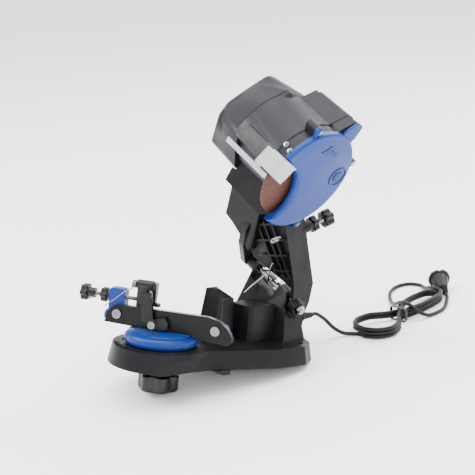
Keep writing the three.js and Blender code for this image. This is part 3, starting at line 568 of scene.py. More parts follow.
class GRINDER_OT_materials(bpy.types.Operator):
    """Make every finish of the machine"""

    bl_idname = "grinder.materials"
    bl_label = "Materials"

    def execute(self, context):
        colours = context.scene.grinder_colours
        grain_group()
        handling_group()
        casting, plastic, blue, sheath = (
            tuple(shade) for shade in (colours.casting, colours.plastic, colours.blue, colours.sheath)
        )
        black = scaled(casting, 0.7)
        # the blue at 0.55 is painted shade for the cover's raised arrow and badge, not a plastic of another colour
        painted_shade_blue = scaled(blue, 0.55)
        # each row: name, colour, its worn colour, roughness from and to, grain size and depth, specular
        for name, colour, worn, rough, size, depth, specular in (
            ("casting paint", casting, scaled(casting, 1.6, 0.001), (0.36, 0.6), 1100, 0.00008, 0.14),
            ("housing plastic", plastic, scaled(plastic, 1.4), (0.34, 0.5), 2200, 0.00003, 0.2),
            ("knob plastic", black, scaled(black, 2), (0.2, 0.36), 1800, 0.00001, 0.3),
            ("blue plastic", blue, scaled(blue, 1.12), (0.34, 0.48), 2000, 0.000012, 0.25),
            ("blue mark", painted_shade_blue, scaled(painted_shade_blue, 1.1), (0.34, 0.48), 2000, 0.000012, 0.25),
            ("blue paint", blue, scaled(blue, 0.85), (0.3, 0.46), 2000, 0.000012, 0.25),
            ("black plate", black, scaled(black, 2), (0.25, 0.45), 1300, 0.00002, 0.18),
            ("cord sheath", sheath, scaled(sheath, 1.8, 0.001), (0.34, 0.55), 2400, 0.00003, 0.2),
        ):
            finish_material(name, colour, worn, rough, size=size, depth=depth, specular=specular)
        steel, dull = (0.24, 0.243, 0.25), (0.15, 0.15, 0.155)
        for name, colour, worn, rough, stretch in (
            ("bright steel", steel, dull, (0.14, 0.3), (1, 1, 6)),
            ("spring steel", steel, dull, (0.2, 0.36), None),
            # the plate edge finish is a lighter steel that paints a highlight along the rail plates' rims
            ("plate edge", (0.55, 0.55, 0.56), steel, (0.18, 0.4), None),
            ("brass", (0.72, 0.55, 0.25), (0.6, 0.42, 0.18), (0.2, 0.4), None),
            ("copper wire", (0.6, 0.25, 0.1), (0.4, 0.15, 0.07), (0.25, 0.45), None),
        ):
            finish_material(name, colour, worn, rough, 1.0, size=1200, depth=0.00001, stretch=stretch)
        grit_material("grinding grit", tuple(colours.grit))
        clear_material("clear sheet")
        return {"FINISHED"}


class GRINDER_OT_castings(bpy.types.Operator):
    """Make the base with its angle scale, and the arm"""

    bl_idname = "grinder.castings"
    bl_label = "Castings"

    def execute(self, context):
        edge = context.scene.grinder_sizes.casting_edge
        dressed("base_casting", "casting paint", edge, 3)
        dressed("arm", "casting paint", edge, 3)
        self.scale_marks()
        return {"FINISHED"}

    @staticmethod
    def scale_marks():
        """Raised bars on the base's ring, one each five degrees, the longer ones each fifteen."""
        points, faces = [], []
        for step in range(-12, 13):
            angle = radians(step * 5 - 65)
            inner = 59.0 if step % 3 == 0 else 62.5
            along = np.array([np.cos(angle), np.sin(angle), 0])
            across = np.array([-np.sin(angle), np.cos(angle), 0]) * 0.55
            low, high = 26.6, 28.5
            corners = [
                along * radius + across * side + np.array([0, 0, level])
                for level in (low, high - 0.02 * inner + 1.1)
                for radius, side in ((inner, -1), (67.5, -1), (67.5, 1), (inner, 1))
            ]
            first = len(points)
            points.extend(corners)
            for face in ((3, 2, 1, 0), (4, 5, 6, 7), (0, 1, 5, 4), (1, 2, 6, 5), (2, 3, 7, 6), (3, 0, 4, 7)):
                faces.append([first + corner for corner in face])
        marks = new_piece("scale_marks", placed(np.array(points), MACHINE), faces)
        settle(marks, "casting paint", body="base")


class GRINDER_OT_housings(bpy.types.Operator):
    """Make the motor's housings, tube and switch"""

    bl_idname = "grinder.housings"
    bl_label = "Motor housings"

    def execute(self, context):
        edge = context.scene.grinder_sizes.plastic_edge
        dressed("housing_near", "housing plastic", edge, 3)
        self.motor_shell()
        self.cowl()
        dressed("motor_tube", "housing plastic", edge, 2)
        dressed("switch_frame", "knob plastic", 0.0008, 3)
        dressed("switch_rocker", "blue plastic", 0.0012, 3)
        return {"FINISHED"}

    @staticmethod
    def near_reach(angle, x):
        """How far the near housing's skin stands from the axis at an angle and a station x.
        It is a smooth maximum of a cone and of two shapes bounded by flat faces,
        distance / cos(angle - facing): the motor's ridge, which ends in a fillet behind the seam,
        and the tall box beside the wheel, which rises out of the cone in front of it. The cone
        is the circle of radius R = 71.8 + 8.6 s about the point C = (5, 8)(1 - s), seen from
        the axis: C.u + sqrt(R^2 - |C|^2 + (C.u)^2) along the direction u."""
        share = (x + 87) / 79

        def bounded(faces):
            reach = np.full_like(angle, np.inf)
            for distance, facing in faces:
                toward = np.cos(angle - radians(facing))
                face = np.where(toward > 0.2, distance / np.maximum(toward, 0.2), np.inf)
                reach = np.minimum(reach, face)
            return np.where(np.isfinite(reach) & (np.abs(angle - radians(85)) < 1.2), reach, 0)

        ridge = bounded(((72.0, 127.5), (83.0, 80), (66, 23.4), (45, 180)))
        box = bounded(((65.1, 119), (107.0, 70.3), (62.4, 3.2)))
        fade = 1 - 0.14 / (1 + np.exp(-(x + 75.5) / 2.4))
        rise = 1 / (1 + np.exp(-(x + 75.5) / 1.2))
        tall = 60 + (box * (1 - 0.022 * (1 - share)) - 60) * rise
        along = (5 * np.cos(angle) + 8 * np.sin(angle)) * (1 - share)
        cone = along + np.sqrt((71.8 + 8.6 * share) ** 2 - 89 * (1 - share) ** 2 + along**2)
        sharp = 0.5
        return sharp * np.logaddexp(np.logaddexp(cone / sharp, ridge * fade / sharp), tall / sharp)

    def cowl(self):
        """The near housing's outer skin, over the arc that it covers."""
        angle = np.radians(np.linspace(171, -38, 200))[None, :]
        x = np.linspace(-86.4, -9.2, 60)[:, None]
        radius = self.near_reach(angle, x)
        outer = np.stack([x + 0 * radius, radius * np.cos(angle), radius * np.sin(angle)], axis=-1)
        inner = np.stack([x + 0 * radius, 66 * np.cos(angle + 0 * x), 66 * np.sin(angle + 0 * x)], axis=-1)
        grid = np.concatenate([outer, inner[:, ::-1]], axis=1)
        settle(skin("housing_cowl", grid, HEAD), "housing plastic", body="head")

    def motor_shell(self):
        """The far housing: it goes over from an outline with flat flanks and a square lower
        corner at its end to the near housing's outline at the seam. On its end lie darker bars,
        a little proud, that are painted shade in place of the air slots' hollows."""
        sides = 240
        angle = np.linspace(-np.pi, np.pi, sides, endpoint=False)
        end = [
            (14, 73), (-16, 47), (-41, 23), (-47, 1), (-40, -25), (-33, -49),
            (4, -57), (44, -40), (58, 0), (52, 38), (38, 68),
        ]
        low = [(-66, 20), (-52, -18), (-31, -53), (6, -61), (52, -46), (68, -6), (0, 60)]
        end_reach = self.polygon_reach(end, angle)
        seam_reach = self.polygon_reach(low, angle)
        covered = (angle > radians(-38)) & (angle < radians(171))
        seam_reach = np.where(covered, self.near_reach(angle, -87.0), seam_reach)
        blur = np.exp(-((np.arange(-6, 7) / 3.0) ** 2))
        blur /= blur.sum()
        stations = (
            (-146.9, 0, 0.95), (-146.9, 0, 0.975), (-145.6, 0, 1),
            (-118, 0.5, 1), (-88, 1, 1), (-87.1, 1, 0.992),
        )
        rings = []
        for x, share, draw in stations:
            reach = end_reach * (1 - share) + seam_reach * share
            reach = np.convolve(np.concatenate([reach[-6:], reach, reach[:6]]), blur, "valid") * draw
            rings.append(np.column_stack([np.full(sides, x), reach * np.cos(angle), reach * np.sin(angle)]))
        settle(skin("motor_shell", np.stack(rings), HEAD), "housing plastic", "housing_far")
        for index, middle in enumerate((-20, -10, 0, 10, 20)):
            bar = [(middle - 2, -26), (middle + 2, -26), (middle + 2, 26), (middle - 2, 26)]
            # each slot is a bar of darker plastic, painted shade for the hollow of an air slot
            slot = flat_piece(f"air_slot_shade_{index + 1}", bar, -147.3, -146, HEAD, 0.3)
            settle(slot, "knob plastic", body="head")

    @staticmethod
    def polygon_reach(corners, angle):
        """How far a closed outline round the axis stands from it at each angle: on the side from
        A to B the distance is cross(A, B - A) / cross(u, B - A) along the direction u."""
        reach = np.zeros_like(angle)
        ux, uy = np.cos(angle), np.sin(angle)
        for (ax, ay), (bx, by) in zip(corners, corners[1:] + corners[:1]):
            dx, dy = bx - ax, by - ay
            across = ux * dy - uy * dx
            safe = np.where(np.abs(across) < 1e-9, 1e-9, across)
            distance = (ax * dy - ay * dx) / safe
            along = (ux * distance - ax) * dx + (uy * distance - ay) * dy
            on_side = (along >= -1e-6) & (along <= dx * dx + dy * dy + 1e-6) & (distance > 0)
            reach = np.where(on_side, np.maximum(reach, distance), reach)
        return reach


class GRINDER_OT_wheel(bpy.types.Operator):
    """Make the grinding wheel, its flanges and its nut"""

    bl_idname = "grinder.wheel"
    bl_label = "Grinding wheel"

    def execute(self, context):
        edge = rounded([(-3.2, 11.1), (-3.2, 72.5), (0, 72.5), (0, 11.1)], 0.9, 5)
        disc = turned_piece("wheel_grit", edge, HEAD, 160, closed_ends=False)
        settle(disc, "grinding grit", "grinding_wheel")
        sides = {
            "inner": [(-7, 6.3), (-7, 16), (-4.6, 20), (-3.5, 20), (-3.5, 6.3)],
            "outer": [(0.3, 6.3), (0.3, 17), (1.6, 17), (4, 13), (4, 6.3)],
        }
        for side, corners in sides.items():
            profile = rounded(corners, 0.5, 3)
            flange = turned_piece(f"{side}_flange_turned", profile, HEAD, 72, closed_ends=False)
            settle(flange, "bright steel", f"flange_{side}")
        dressed("wheel_nut", "bright steel", 0.0005, 2)
        return {"FINISHED"}


class GRINDER_OT_cover(bpy.types.Operator):
    """Make the wheel's cover with its screws and raised arrow and badge in a darker blue of painted shade, and the
    clear visor
    """

    bl_idname = "grinder.cover"
    bl_label = "Wheel cover and visor"

    screws = ((-35, 83), (79, 31), (34.5, -80))

    def execute(self, context):
        self.shell()
        for index, middle in enumerate(self.screws):
            self.lug(index + 1, middle)
            head = cross_head(f"cover_screw_head_{index + 1}", middle, 3.4, 2.4, 13.3, HEAD)
            settle(head, "bright steel", body="head")
            finish_node(f"cover_screw_{index + 1}", "bright steel")
        self.turn_arrow()
        self.badge()
        self.visor()
        return {"FINISHED"}

    @staticmethod
    def outline(radius, cut, start=152, end=-122):
        """A rim on a circle, from the start angle round to the end, closed by a smooth cut edge."""
        angle = np.radians(np.linspace(start, end, 120))
        rim = np.stack([radius * np.cos(angle), radius * np.sin(angle)], axis=1)
        edge = [(*rim[-1], 0), *((y, z, 0) for y, z in cut), (*rim[0], 0)]
        side = evenly(curve_through(edge, 10), 3.0)
        stations = np.linspace(0, len(side) - 1, 52)[1:-1]
        side = np.stack([np.interp(stations, np.arange(len(side)), side[:, k]) for k in range(2)], axis=1)
        return np.concatenate([rim, side])

    def shell(self):
        """The cover: a wall, a rounded rim, a flat face and a sloping flank along the cut edge.
        Each ring is the same outline at its own radius, with its own place for the cut."""
        low_cut = ((-30, -62), (-19, -44), (-20, -18), (-33, 9), (-55, 26))
        high_cut = ((-21, -63), (-9, -44), (-10, -16), (-25, 14), (-47, 33))
        roof = self.outline(78.5, ((-27, -61), (-16, -44), (-17, -17), (-30, 11), (-52, 28)))
        wall = self.outline(81.5, low_cut)
        rings = [(roof, 9.5), (roof, COVER_BACK), (wall, COVER_BACK)]
        for turn in np.radians(np.linspace(0, 90, 7)):
            share = 1 - np.cos(turn)
            cut = np.array(low_cut) * (1 - share) + np.array(high_cut) * share
            rings.append((self.outline(81.5 - 3.2 * share, cut), 12.6 + 4.3 * np.sin(turn)))
        grid = [np.stack([np.full(len(line), x), line[:, 0], line[:, 1]], axis=1) for line, x in rings]
        settle(skin("cover_shell", np.stack(grid), HEAD), "blue plastic", "cover")
        fin = [(30, 62), (20, 70), (24, 82), (43, 98.5), (57, 93.5), (54, 69), (30, 62)]
        fin = rounded(fin, 4.5, 6)[:-1]
        settle(flat_piece("cover_fin", fin, COVER_BACK, 12.9, HEAD, 0.9), "blue plastic", body="head")

    @staticmethod
    def lug(index, middle):
        """A screw's ear on the rim, with a raised collar round the screw's recess."""
        out = np.arctan2(middle[1], middle[0])
        angle = out + np.linspace(-np.pi / 2, np.pi / 2, 24)
        ear = np.stack([middle[0] + 6.4 * np.cos(angle), middle[1] + 6.4 * np.sin(angle)], axis=1)
        foot = np.array([[np.cos(out), np.sin(out)]]) * 76
        across = np.array([[-np.sin(out), np.cos(out)]]) * 8.5
        outline = np.concatenate([ear, foot + across, foot - across])
        ear = flat_piece(f"cover_ear_{index}", outline, COVER_BACK, 13.2, HEAD, 0.9)
        settle(ear, "blue plastic", body="head")
        collar = rounded([(13, 3.9), (14.9, 3.9), (14.9, 6.2), (13, 6.2)], 0.6, 4)
        at = shifted(HEAD, 0, *middle)
        ring = turned_piece(f"cover_collar_{index}", collar, at, 48, closed_ends=False)
        settle(ring, "blue plastic", body="head")

    @staticmethod
    def turn_arrow():
        """A band on a circle of radius 53 with a pointed head, standing a millimetre proud."""
        angle = np.radians(np.linspace(58, 84, 14))
        outer = np.stack([56.2 * np.cos(angle), 56.2 * np.sin(angle)], axis=1)
        inner = np.stack([50.2 * np.cos(angle[::-1]), 50.2 * np.sin(angle[::-1])], axis=1)
        tip_angle = np.radians([84, 101, 84])
        tip_reach = np.array([62.5, 51.0, 44.0])
        tip = np.stack([tip_reach * np.cos(tip_angle), tip_reach * np.sin(tip_angle)], axis=1)
        band = np.concatenate([outer, tip, inner])
        arrow = flat_piece("turn_arrow", band, COVER_FACE, 17.7, HEAD, 0.35)
        # the arrow's darker blue is painted shade
        settle(arrow, "blue mark", body="head")

    @staticmethod
    def badge():
        """A plain raised ring on the cover round a small saw-tooth disc."""
        tilt = shifted(HEAD, 0, 59, 8)
        ring = rounded([(COVER_FACE, 14), (17.9, 14), (17.9, 16.2), (COVER_FACE, 16.2)], 0.4, 3)
        # the ring and the teeth take the darker blue of painted shade
        settle(turned_piece("cover_ring", ring, tilt, 72, closed_ends=False), "blue mark", body="head")
        teeth = rounded([(COVER_FACE, 0.5), (COVER_FACE, 9.5), (17.8, 9.5), (17.8, 0.5)], 0.3, 3)
        disc = turned_piece("cover_teeth", teeth, tilt, 96, reach=lobes(8, 0.22))
        settle(disc, "blue mark", body="head")

    @staticmethod
    def visor():
        """The clear strip on the housing and the shield bent over the wheel, held by two screws."""
        strip = [(-84.4, -2.6), (-84.6, 4.6), (-82.2, 4.8), (-82.0, -2.6)]
        settle(flat_piece("visor_strip", strip, -84.5, 3.5, HEAD, 0.7), "clear sheet", "visor_rail")
        lip = rounded([(-70.5, 35), (-75.5, 34.5), (-84, 16.5), (-88, 10.5)], 3.0, 5)
        under = rounded([(-86, 9.6), (-82.2, 15.7), (-74.3, 32.4), (-70.5, 32.8)], 3.0, 5)
        section = np.concatenate([lip, under])
        shield = flat_piece("shield_sheet", section, -13.5, 33.5, HEAD, 0.6)
        settle(shield, "clear sheet", "visor_shield")
        rib = flat_piece("shield_rib", section + (-0.6, 0.5), 8, 12, HEAD, 0.8)
        settle(rib, "clear sheet", body="head")
        side = [(-84, 4), (-84.5, 10), (-74, 33), (-71, 33), (-82, 4), (-84, 4)]
        tab = flat_piece(
            "shield_tab", rounded(side, 1.5)[:-1], -24, -12, HEAD, 0.5,
        )
        settle(tab, "clear sheet", body="head")
        facing = turned(HEAD, radians(180), "Z")
        nut_side = [(0, 0.4), (0, 4.2), (2.8, 4.2), (2.8, 2.4), (5.2, 2.2), (5.2, 0.4)]
        nut_profile = rounded(nut_side, 0.5, 3)
        for index, (along, height) in enumerate(((6.5, 45.0), (-5, 47.5))):
            reach = (78.5**2 - height**2) ** 0.5
            seat = shifted(facing, -along, reach, height)
            square = turned(seat, radians(90), "Z")
            square = turned(square, radians(-25), "Y")
            nut = turned_piece(f"shield_nut_{index + 1}", nut_profile, square, 36)
            settle(nut, "bright steel", body="head")


class GRINDER_OT_vise(bpy.types.Operator):
    """Make the turntable, the chain vise and its stop"""

    bl_idname = "grinder.vise"
    bl_label = "Chain vise"

    rail_screws = (("rail_screw_left", -68, 62.5), ("rail_screw_right", 83, 58.5))

    def execute(self, context):
        self.turntable()
        dressed("vise_carrier", "blue paint", 0.0009, 3)
        # the rails' rims take the lighter steel as a painted highlight
        for node in ("rail_near", "rail_far"):
            painted_highlight_rims(dressed(node, "black plate", 0.0006, 2), "plate edge", VISE[:3, 1])
        dressed("clamp_lever", "knob plastic", 0.001, 3)
        dressed("stop_block", "blue paint", 0.001, 3)
        dressed("stop_bracket", "knob plastic", 0.0008, 3)
        dressed("stop_pawl", "knob plastic", 0.0007, 3)
        facing = turned(VISE, radians(-90), "Z")
        for node, along, height in self.rail_screws:
            finish_node(node, "bright steel")
            head = cross_head(node + "_head", (along, height), 6.8, 4.2, 6.9, facing)
            settle(head, "bright steel", body="vise")
        finish_node("clamp_screw", "bright steel")
        head = cross_head("clamp_screw_head", (-10, 55.5), 5.4, 3.8, 15.9, facing)
        settle(head, "bright steel", body="vise")
        return {"FINISHED"}

    @staticmethod
    def turntable():
        """A disc with a rounded rim and a pointer's notch, and a step across its rear half."""
        sides = 144
        profile = rounded([(27.4, 0.5), (27.4, 53.4), (43, 53.4), (43, 0.5)], 6.5, 7)
        angle = np.linspace(0, 2 * np.pi, sides, endpoint=False)
        notch = 1 - 0.055 * np.exp(-(((angle - radians(360 - 117)) / 0.045) ** 6))
        share = np.clip((profile[:, 1] - 46) / 4, 0, 1)[:, None]
        radius = profile[:, 1][:, None] * (1 - share * (1 - notch[None, :]))
        level = np.repeat(profile[:, 0][:, None], sides, axis=1)
        grid = np.stack([radius * np.cos(angle), radius * np.sin(angle), level], axis=-1)
        settle(skin("turntable_disc", grid, MACHINE), "blue paint", "turntable")
        sweep = np.linspace(-np.pi / 2, np.pi / 2, 60)
        half = np.stack([45 * np.cos(sweep), 45 * np.sin(sweep)], axis=1)
        step = flat_piece("turntable_step", half, 42.5, 45.5, VISE, 0.8, "z")
        settle(step, "blue paint", body="vise")


class GRINDER_OT_knobs(bpy.types.Operator):
    """Make the lobed hand knobs"""

    bl_idname = "grinder.knobs"
    bl_label = "Hand knobs"

    def execute(self, context):
        adjuster = shifted(VISE, 0, 8, 85)
        grip = [
            (-132, 0.4), (-132, 7), (-131.4, 9), (-131, 12.5), (-121, 12.5),
            (-120, 9), (-120, 7.5), (-110, 7.5), (-110, 3),
        ]
        self.knob("adjuster_grip", grip, adjuster, 6, 0.24, "adjuster_screw")
        self.thread("adjuster_thread", -109.8, -44.3, 3.0, 1.0, adjuster, "adjuster")
        lock = [(-100, 3.3), (-100, 8), (-99.4, 11), (-91, 11), (-90, 9), (-90, 7), (-86.3, 7), (-86.3, 3.3)]
        self.knob("adjuster_lock_grip", lock, adjuster, 6, 0.236, "adjuster_lock_knob", closed_ends=False)
        depth = [(-116, 0.4), (-116, 7), (-115.3, 11), (-114.6, 14), (-102, 14), (-100, 11), (-99.9, 4)]
        self.knob("depth_grip", depth, DEPTH, 6, 0.214, "depth_screw")
        self.thread("depth_thread", -99.9, -3, 4.0, 1.25, DEPTH, "depth_stop")
        tip = rounded([(-3.2, 0.3), (-3.2, 2.6), (0, 2.6), (0, 0.3)], 0.5, 3)
        settle(turned_piece("depth_tip", tip, DEPTH, 32), "bright steel", body="depth_stop")
        lock = [(-86, 4.3), (-86, 9), (-85.4, 13), (-77, 13), (-76, 10), (-76, 8), (-70.3, 8), (-70.3, 4.3)]
        self.knob("depth_lock_grip", lock, DEPTH, 6, 0.215, "depth_lock_knob", closed_ends=False)
        under = turned(MACHINE, radians(-90), "Y")
        swivel = [
            (-41, 12), (-41, 27), (-40.2, 28.6), (-38, 30), (-18.5, 30), (-17, 28.6),
            (-17, 22), (-12, 22), (-12, 5.3), (-36, 5.3), (-36, 12),
        ]
        self.knob("swivel_grip", swivel, under, 6, 0.167, "swivel_lock_knob", closed_ends=False)
        return {"FINISHED"}

    @staticmethod
    def knob(name, corners, matrix, count, depth, node, closed_ends=True):
        """A turned profile whose rings wider than three quarters of the grip carry its lobes."""
        profile = rounded(corners, 1.1, 5)
        if not closed_ends:
            profile = np.concatenate([profile, profile[:1]])[:-1]
        widest = profile[:, 1].max()
        angle = np.linspace(0, 2 * np.pi, 144, endpoint=False)
        edge = lobes(count, depth)(angle)
        share = np.clip((profile[:, 1] / widest - 0.72) / 0.28, 0, 1)[:, None]
        radius = profile[:, 1][:, None] * (1 - share * (1 - edge[None, :]))
        piece = skin(name, round_grid(profile[:, 0], radius, angle), matrix, closed_ends)
        settle(piece, "knob plastic", node)

    @staticmethod
    def thread(name, low, high, radius, pitch, matrix, body):
        """A screw thread: radius less 0.45 |2 frac(x / pitch - angle / 2 pi) - 1| pitch."""
        sides, per_turn = 24, 8
        stations = np.linspace(low, high, int((high - low) / pitch * per_turn))
        angle = np.linspace(0, 2 * np.pi, sides, endpoint=False)
        phase = (stations[:, None] / pitch - angle[None, :] / (2 * np.pi)) % 1.0
        reach = radius - 0.45 * pitch * np.abs(2 * phase - 1)
        reach[[0, -1]] *= 0.8
        settle(skin(name, round_grid(stations, reach, angle), matrix), "bright steel", body=body)


class GRINDER_OT_springs(bpy.types.Operator):
    """Wind the head's return spring and the pawl's spring"""

    bl_idname = "grinder.springs"
    bl_label = "Springs"

    def execute(self, context):
        turns, per_turn, start, pitch = 4, 8, 30.0, 3.3
        step = np.arange(turns * per_turn + 1)
        angle = np.pi + 2 * np.pi * step / per_turn
        coil = np.stack([start + step * pitch / per_turn, 8.2 * np.cos(angle), 8.2 * np.sin(angle)], axis=1)
        end = start + turns * pitch + 1
        lower = [(start - 2, -31, -34), (start - 1.5, -22, -19), (start - 1, -12, -5)]
        upper = [(end, -18, 9), (end + 1, -27, 26), (end + 2, -32, 42)]
        line = np.concatenate([lower, coil, upper])
        spring = wire_piece("return_spring", line, 1.4, TILT, (1, 0.001, 0), 0.8)
        settle(spring, "spring steel", "torsion_spring")
        turns, middle, height = 4, 8.0, 107.0
        step = np.arange(turns * per_turn + 1)
        angle = 2 * np.pi * step / per_turn - np.pi / 2
        along = -45.8 - step * 6.4 / (turns * per_turn)
        coil = np.stack([along, middle + 5 * np.cos(angle), height + 5 * np.sin(angle)], axis=1)
        leg = [(-54, 3, 99.5), (-62, -2, 94), (-76, -2.5, 82), (-91, -2.5, 70)]
        line = np.concatenate([coil, leg])
        spring = wire_piece("pawl_return_spring", line, 0.8, VISE, (0.03, 1, 0.02), 0.5, 12)
        settle(spring, "spring steel", "pawl_spring")
        return {"FINISHED"}


class GRINDER_OT_hardware(bpy.types.Operator):
    """Finish the axle, nuts, bolt and motor parts that keep their CAD shape"""

    bl_idname = "grinder.hardware"
    bl_label = "Axle and motor hardware"

    def execute(self, context):
        for node in ("pivot_nut_near", "pivot_nut_far", "spring_collar", "pivot_axle"):
            dressed(node, "bright steel", 0.0004, 2)
        for node in ("swivel_bolt", "swivel_washer", "rotor", "bearing_near", "bearing_far"):
            finish_node(node, "bright steel")
        finish_node("stator", "copper wire")
        for node in ("fan", "far_bearing_plate"):
            finish_node(node, "housing plastic")
        return {"FINISHED"}


class GRINDER_OT_cord(bpy.types.Operator):
    """Lay the mains cord from its gland to its plug, tied in a hank"""

    bl_idname = "grinder.cord"
    bl_label = "Mains cord"

    lead = ((77, 286, 36), (82, 301, 18), (91, 314, 6.4), (101, 325, 3.4))
    hank = (
        (112, 331), (128, 329), (147, 338), (157, 358), (151, 385), (137, 404), (131, 420), (135, 440),
        (140, 470), (140, 512), (134, 534), (120, 542), (106, 535), (101, 515), (101, 480), (108, 450),
        (118, 430), (117, 418), (107, 402), (92, 384), (88, 358), (97, 338),
    )
    turns = 2.5
    rise = 6.35
    loop = (
        (102, 549, 15), (84, 561, 7), (64, 577, 3.4), (44, 572, 3.4), (34, 550, 3.4), (40, 520, 3.4),
        (58, 492, 3.6), (86, 462, 8.5), (112, 446, 21.5), (133, 439.5, 24.6), (148, 443, 15),
        (157, 457, 5.2), (161, 482, 3.4), (158, 508, 3.4),
    )

    def execute(self, context):
        radius = context.scene.grinder_sizes.cord_radius / MM
        line = self.route()
        cord = skin("mains_cord", tube_grid(line, radius, 16, (0, 0, 1)), FLOOR)
        settle(cord, "cord sheath", "cord_lead", "cord_hank", "cord_loop", "cord_tail")
        tie = self.tie()
        plug = self.plug()
        pins = self.pins()
        self.gland()
        return {"FINISHED"}

    def route(self):
        """Gland, floor, two and a half turns of the hank each a diameter above the last, the loose
        loop, over the hank in a low hump, and on to the plug's boot."""
        back = np.linalg.inv(FLOOR)
        gland = placed(placed([GLAND_AT], MACHINE), back)[0]
        ahead = placed(placed([(GLAND_AT[0], GLAND_AT[1] + 12, GLAND_AT[2])], MACHINE), back)[0]
        around = np.array(self.hank, float)
        count = len(around)
        steps = np.arange(int(round(self.turns * count)) + 1)
        plan = around[steps % count]
        height = 3.4 + self.rise * steps / count
        turns = np.concatenate([plan, height[:, None]], axis=1)
        boot = placed(placed([(46.3, 0, 0), (57, 0, 0)], PLUG), back)
        points = np.concatenate([[gland, ahead], self.lead, turns, self.loop, boot[::-1]])
        return evenly(curve_through(points, 16), 2.0)

    def tie(self):
        """A flat band: a rounded rectangle swept round the hank's waist."""
        loops = []
        for left, right, low, high, reach in ((110, 139, 0.3, 22.6, 4.5), (109.1, 139.9, 0.05, 23.5, 5.2)):
            corners = [(125, low), (right, low), (right, high), (left, high), (left, low), (125, low)]
            loops.append(rounded(corners, reach, 6)[:-1])
        inner, outer = loops
        rows = []
        for line, y in ((inner, 419), (outer, 419), (outer, 425), (inner, 425)):
            rows.append(np.stack([line[:, 0], np.full(len(line), y), line[:, 1]], axis=1))
        grid = np.stack(rows)
        return settle(skin("cord_tie_band", grid, FLOOR, closed_ends=False), "knob plastic", "cord_tie")

    @staticmethod
    def plug():
        """A round flange with two notches, a tapering grip with grooves, and a ringed boot."""
        grip = [
            (-3, 0.5), (-3, 18), (-2.2, 19), (2.2, 19), (3, 18),
            (3.6, 15.5), (8, 14.6), (14, 13), (22, 10.4), (30, 8),
        ]
        groove = ((0.3, 0), (0.7, -1.1), (1.4, -1.1), (1.8, 0))
        rings = [(30 + 2 * k + shift, 7.8 - 0.42 * k + lift) for k in range(8) for shift, lift in groove]
        corners = grip + rings + [(46, 3.9), (46, 0.4)]
        profile = rounded(corners, 0.5, 3)
        sides = 120
        angle = np.linspace(0, 2 * np.pi, sides, endpoint=False)
        notch = 1 - 0.14 * np.exp(-((np.abs(np.abs(angle - np.pi) - np.pi / 2) / 0.16) ** 6))
        share = np.clip((profile[:, 1] - 14) / 3, 0, 1)[:, None]
        radius = profile[:, 1][:, None] * (1 - share * (1 - notch[None, :]))
        moulding = skin("plug_moulding", round_grid(profile[:, 0], radius, angle), PLUG)
        return settle(moulding, "cord sheath", "plug_body")

    @staticmethod
    def pins():
        """Two round pins with rounded ends."""
        pins = []
        for name, side in (("plug_pin_left", 9.5), ("plug_pin_right", -9.5)):
            profile = rounded([(-22, 0.3), (-22, 2.4), (-2.5, 2.4), (-2.5, 0.3)], 1.2, 5)
            pin = turned_piece(name + "_turned", profile, shifted(PLUG, 0, side, 0), 32)
            pins.append(settle(pin, "brass", name))
        return pins

    @staticmethod
    def gland():
        """A collar and a relief that tapers over 26 mm, with rings round it."""
        back = turned(shifted(MACHINE, GLAND_AT[0], 0, GLAND_AT[2]), radians(90), "Z")
        collar = [(208, 0.4), (208, 5), (220.3, 5), (220.3, 8.5), (224, 8.5), (224, 6.4)]
        groove = ((0, 0), (1.2, -0.8), (2.4, -0.8), (3.4, 0))
        rings = [(225 + 4 * k + shift, 6.2 - 0.32 * k + lift) for k in range(6) for shift, lift in groove]
        corners = collar + rings + [(250, 4.2), (250, 0.4)]
        piece = turned_piece("cord_relief", rounded(corners, 0.6, 3), back, 48)
        settle(piece, "cord sheath", "cord_gland")


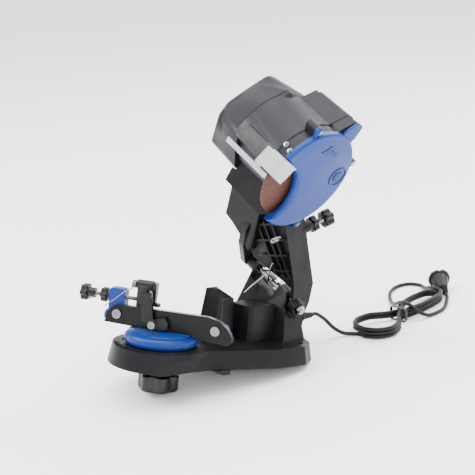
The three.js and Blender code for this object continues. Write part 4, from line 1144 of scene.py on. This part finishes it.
class GRINDER_OT_stage(bpy.types.Operator):
    """Set the floor, the soft lights and the camera"""

    bl_idname = "grinder.stage"
    bl_label = "Floor, lights and camera"

    azimuth = radians(48.33)
    elevation = radians(8.39)
    roll = radians(4.72)
    aside = 112.66  # how far the camera stands to its right of the vise's axis, mm
    above = 179.31  # and above it
    lens = 83.64

    def execute(self, context):
        self.floor(tuple(context.scene.grinder_colours.floor))
        self.camera(context.scene.grinder_sizes.camera_distance)
        target = Vector((0, 0.0, 0.2))
        self.light("key", (-1.7, -1.8, 2.4), target, 1.2, 120)
        self.light("fill", (2.6, -1.4, 1.2), target, 1.0, 26)
        self.light("rim", (0.4, 2.3, 2.2), target, 1.6, 80)
        self.light("top", (0.0, 0.0, 3.0), target, 2.6, 120)
        world = bpy.data.worlds.new("soft room")
        world.use_nodes = True
        world.node_tree.nodes["Background"].inputs["Color"].default_value = (0.98, 0.985, 1.0, 1)
        world.node_tree.nodes["Background"].inputs["Strength"].default_value = 2.2
        context.scene.world = world
        return {"FINISHED"}

    @staticmethod
    def floor(colour):
        """A wide flat floor at height zero."""
        reach = 30.0
        corners = np.array([(-reach, -reach, 0), (reach, -reach, 0), (reach, reach, 0), (-reach, reach, 0)])
        mesh = bpy.data.meshes.new("floor")
        mesh.from_pydata(corners.tolist(), [], [(0, 1, 2, 3)])
        floor = bpy.data.objects.new("floor", mesh)
        bpy.context.scene.collection.objects.link(floor)
        worn = scaled(colour, 0.985)
        finish_material("pale floor", colour, worn, (0.55, 0.65), size=40, depth=0.00001)
        floor.data.materials.append(bpy.data.materials["pale floor"])

    @staticmethod
    def light(name, place, target, size, power):
        """A square soft light aimed at the machine."""
        lamp = bpy.data.lights.new(name, "AREA")
        lamp.size = size
        lamp.energy = power
        holder = bpy.data.objects.new(name, lamp)
        holder.location = place
        holder.rotation_euler = (target - Vector(place)).to_track_quat("-Z", "Y").to_euler()
        bpy.context.scene.collection.objects.link(holder)

    def camera(self, distance):
        """Looks at the machine from its near side, with the machine's own level tipped in the view."""
        ca, sa = np.cos(self.azimuth), np.sin(self.azimuth)
        ce, se = np.cos(self.elevation), np.sin(self.elevation)
        toward = np.array([ce * ca, -ce * sa, se])
        level = np.array([sa, ca, 0])
        upright = np.cross(toward, level)
        right = np.cos(self.roll) * level + np.sin(self.roll) * upright
        up = np.cross(toward, right)
        place = toward * distance / MM + right * self.aside + up * self.above
        turn = MACHINE[:3, :3] / MM
        matrix = np.eye(4)
        matrix[:3, :3] = turn @ np.stack([right, up, toward], axis=1)
        matrix[:3, 3] = placed([place], MACHINE)[0]
        lens = bpy.data.cameras.new("camera")
        lens.lens = self.lens
        lens.sensor_width = 36.0
        lens.clip_end = 100.0
        camera = bpy.data.objects.new("camera", lens)
        camera.matrix_world = Matrix(matrix.tolist())
        bpy.context.scene.collection.objects.link(camera)
        bpy.context.scene.camera = camera


class GRINDER_PT_panel(bpy.types.Panel):
    """The steps that build the grinder, in order"""

    bl_idname = "GRINDER_PT_panel"
    bl_label = "Bench Chain Grinder"
    bl_space_type = "VIEW_3D"
    bl_region_type = "UI"
    bl_category = "Grinder"

    def draw(self, context):
        for group in (context.scene.grinder_colours, context.scene.grinder_sizes):
            box = self.layout.box()
            for name in group.__annotations__:
                box.prop(group, name)
        for step in STEPS:
            self.layout.operator(step.bl_idname)


STEPS = (
    GRINDER_OT_materials,
    GRINDER_OT_stage,
    GRINDER_OT_cord,
    GRINDER_OT_castings,
    GRINDER_OT_housings,
    GRINDER_OT_wheel,
    GRINDER_OT_cover,
    GRINDER_OT_vise,
    GRINDER_OT_knobs,
    GRINDER_OT_springs,
    GRINDER_OT_hardware,
)
CLASSES = (GrinderColours, GrinderSizes, *STEPS, GRINDER_PT_panel)


def register():
    for item in CLASSES:
        bpy.utils.register_class(item)
    bpy.types.Scene.grinder_colours = PointerProperty(type=GrinderColours)
    bpy.types.Scene.grinder_sizes = PointerProperty(type=GrinderSizes)


def unregister():
    del bpy.types.Scene.grinder_sizes
    del bpy.types.Scene.grinder_colours
    for item in reversed(CLASSES):
        bpy.utils.unregister_class(item)


def main():
    register()
    for step in STEPS:
        getattr(bpy.ops.grinder, step.bl_idname.split(".")[1])()
    bpy.context.view_layer.update()


if __name__ == "__main__":
    main()
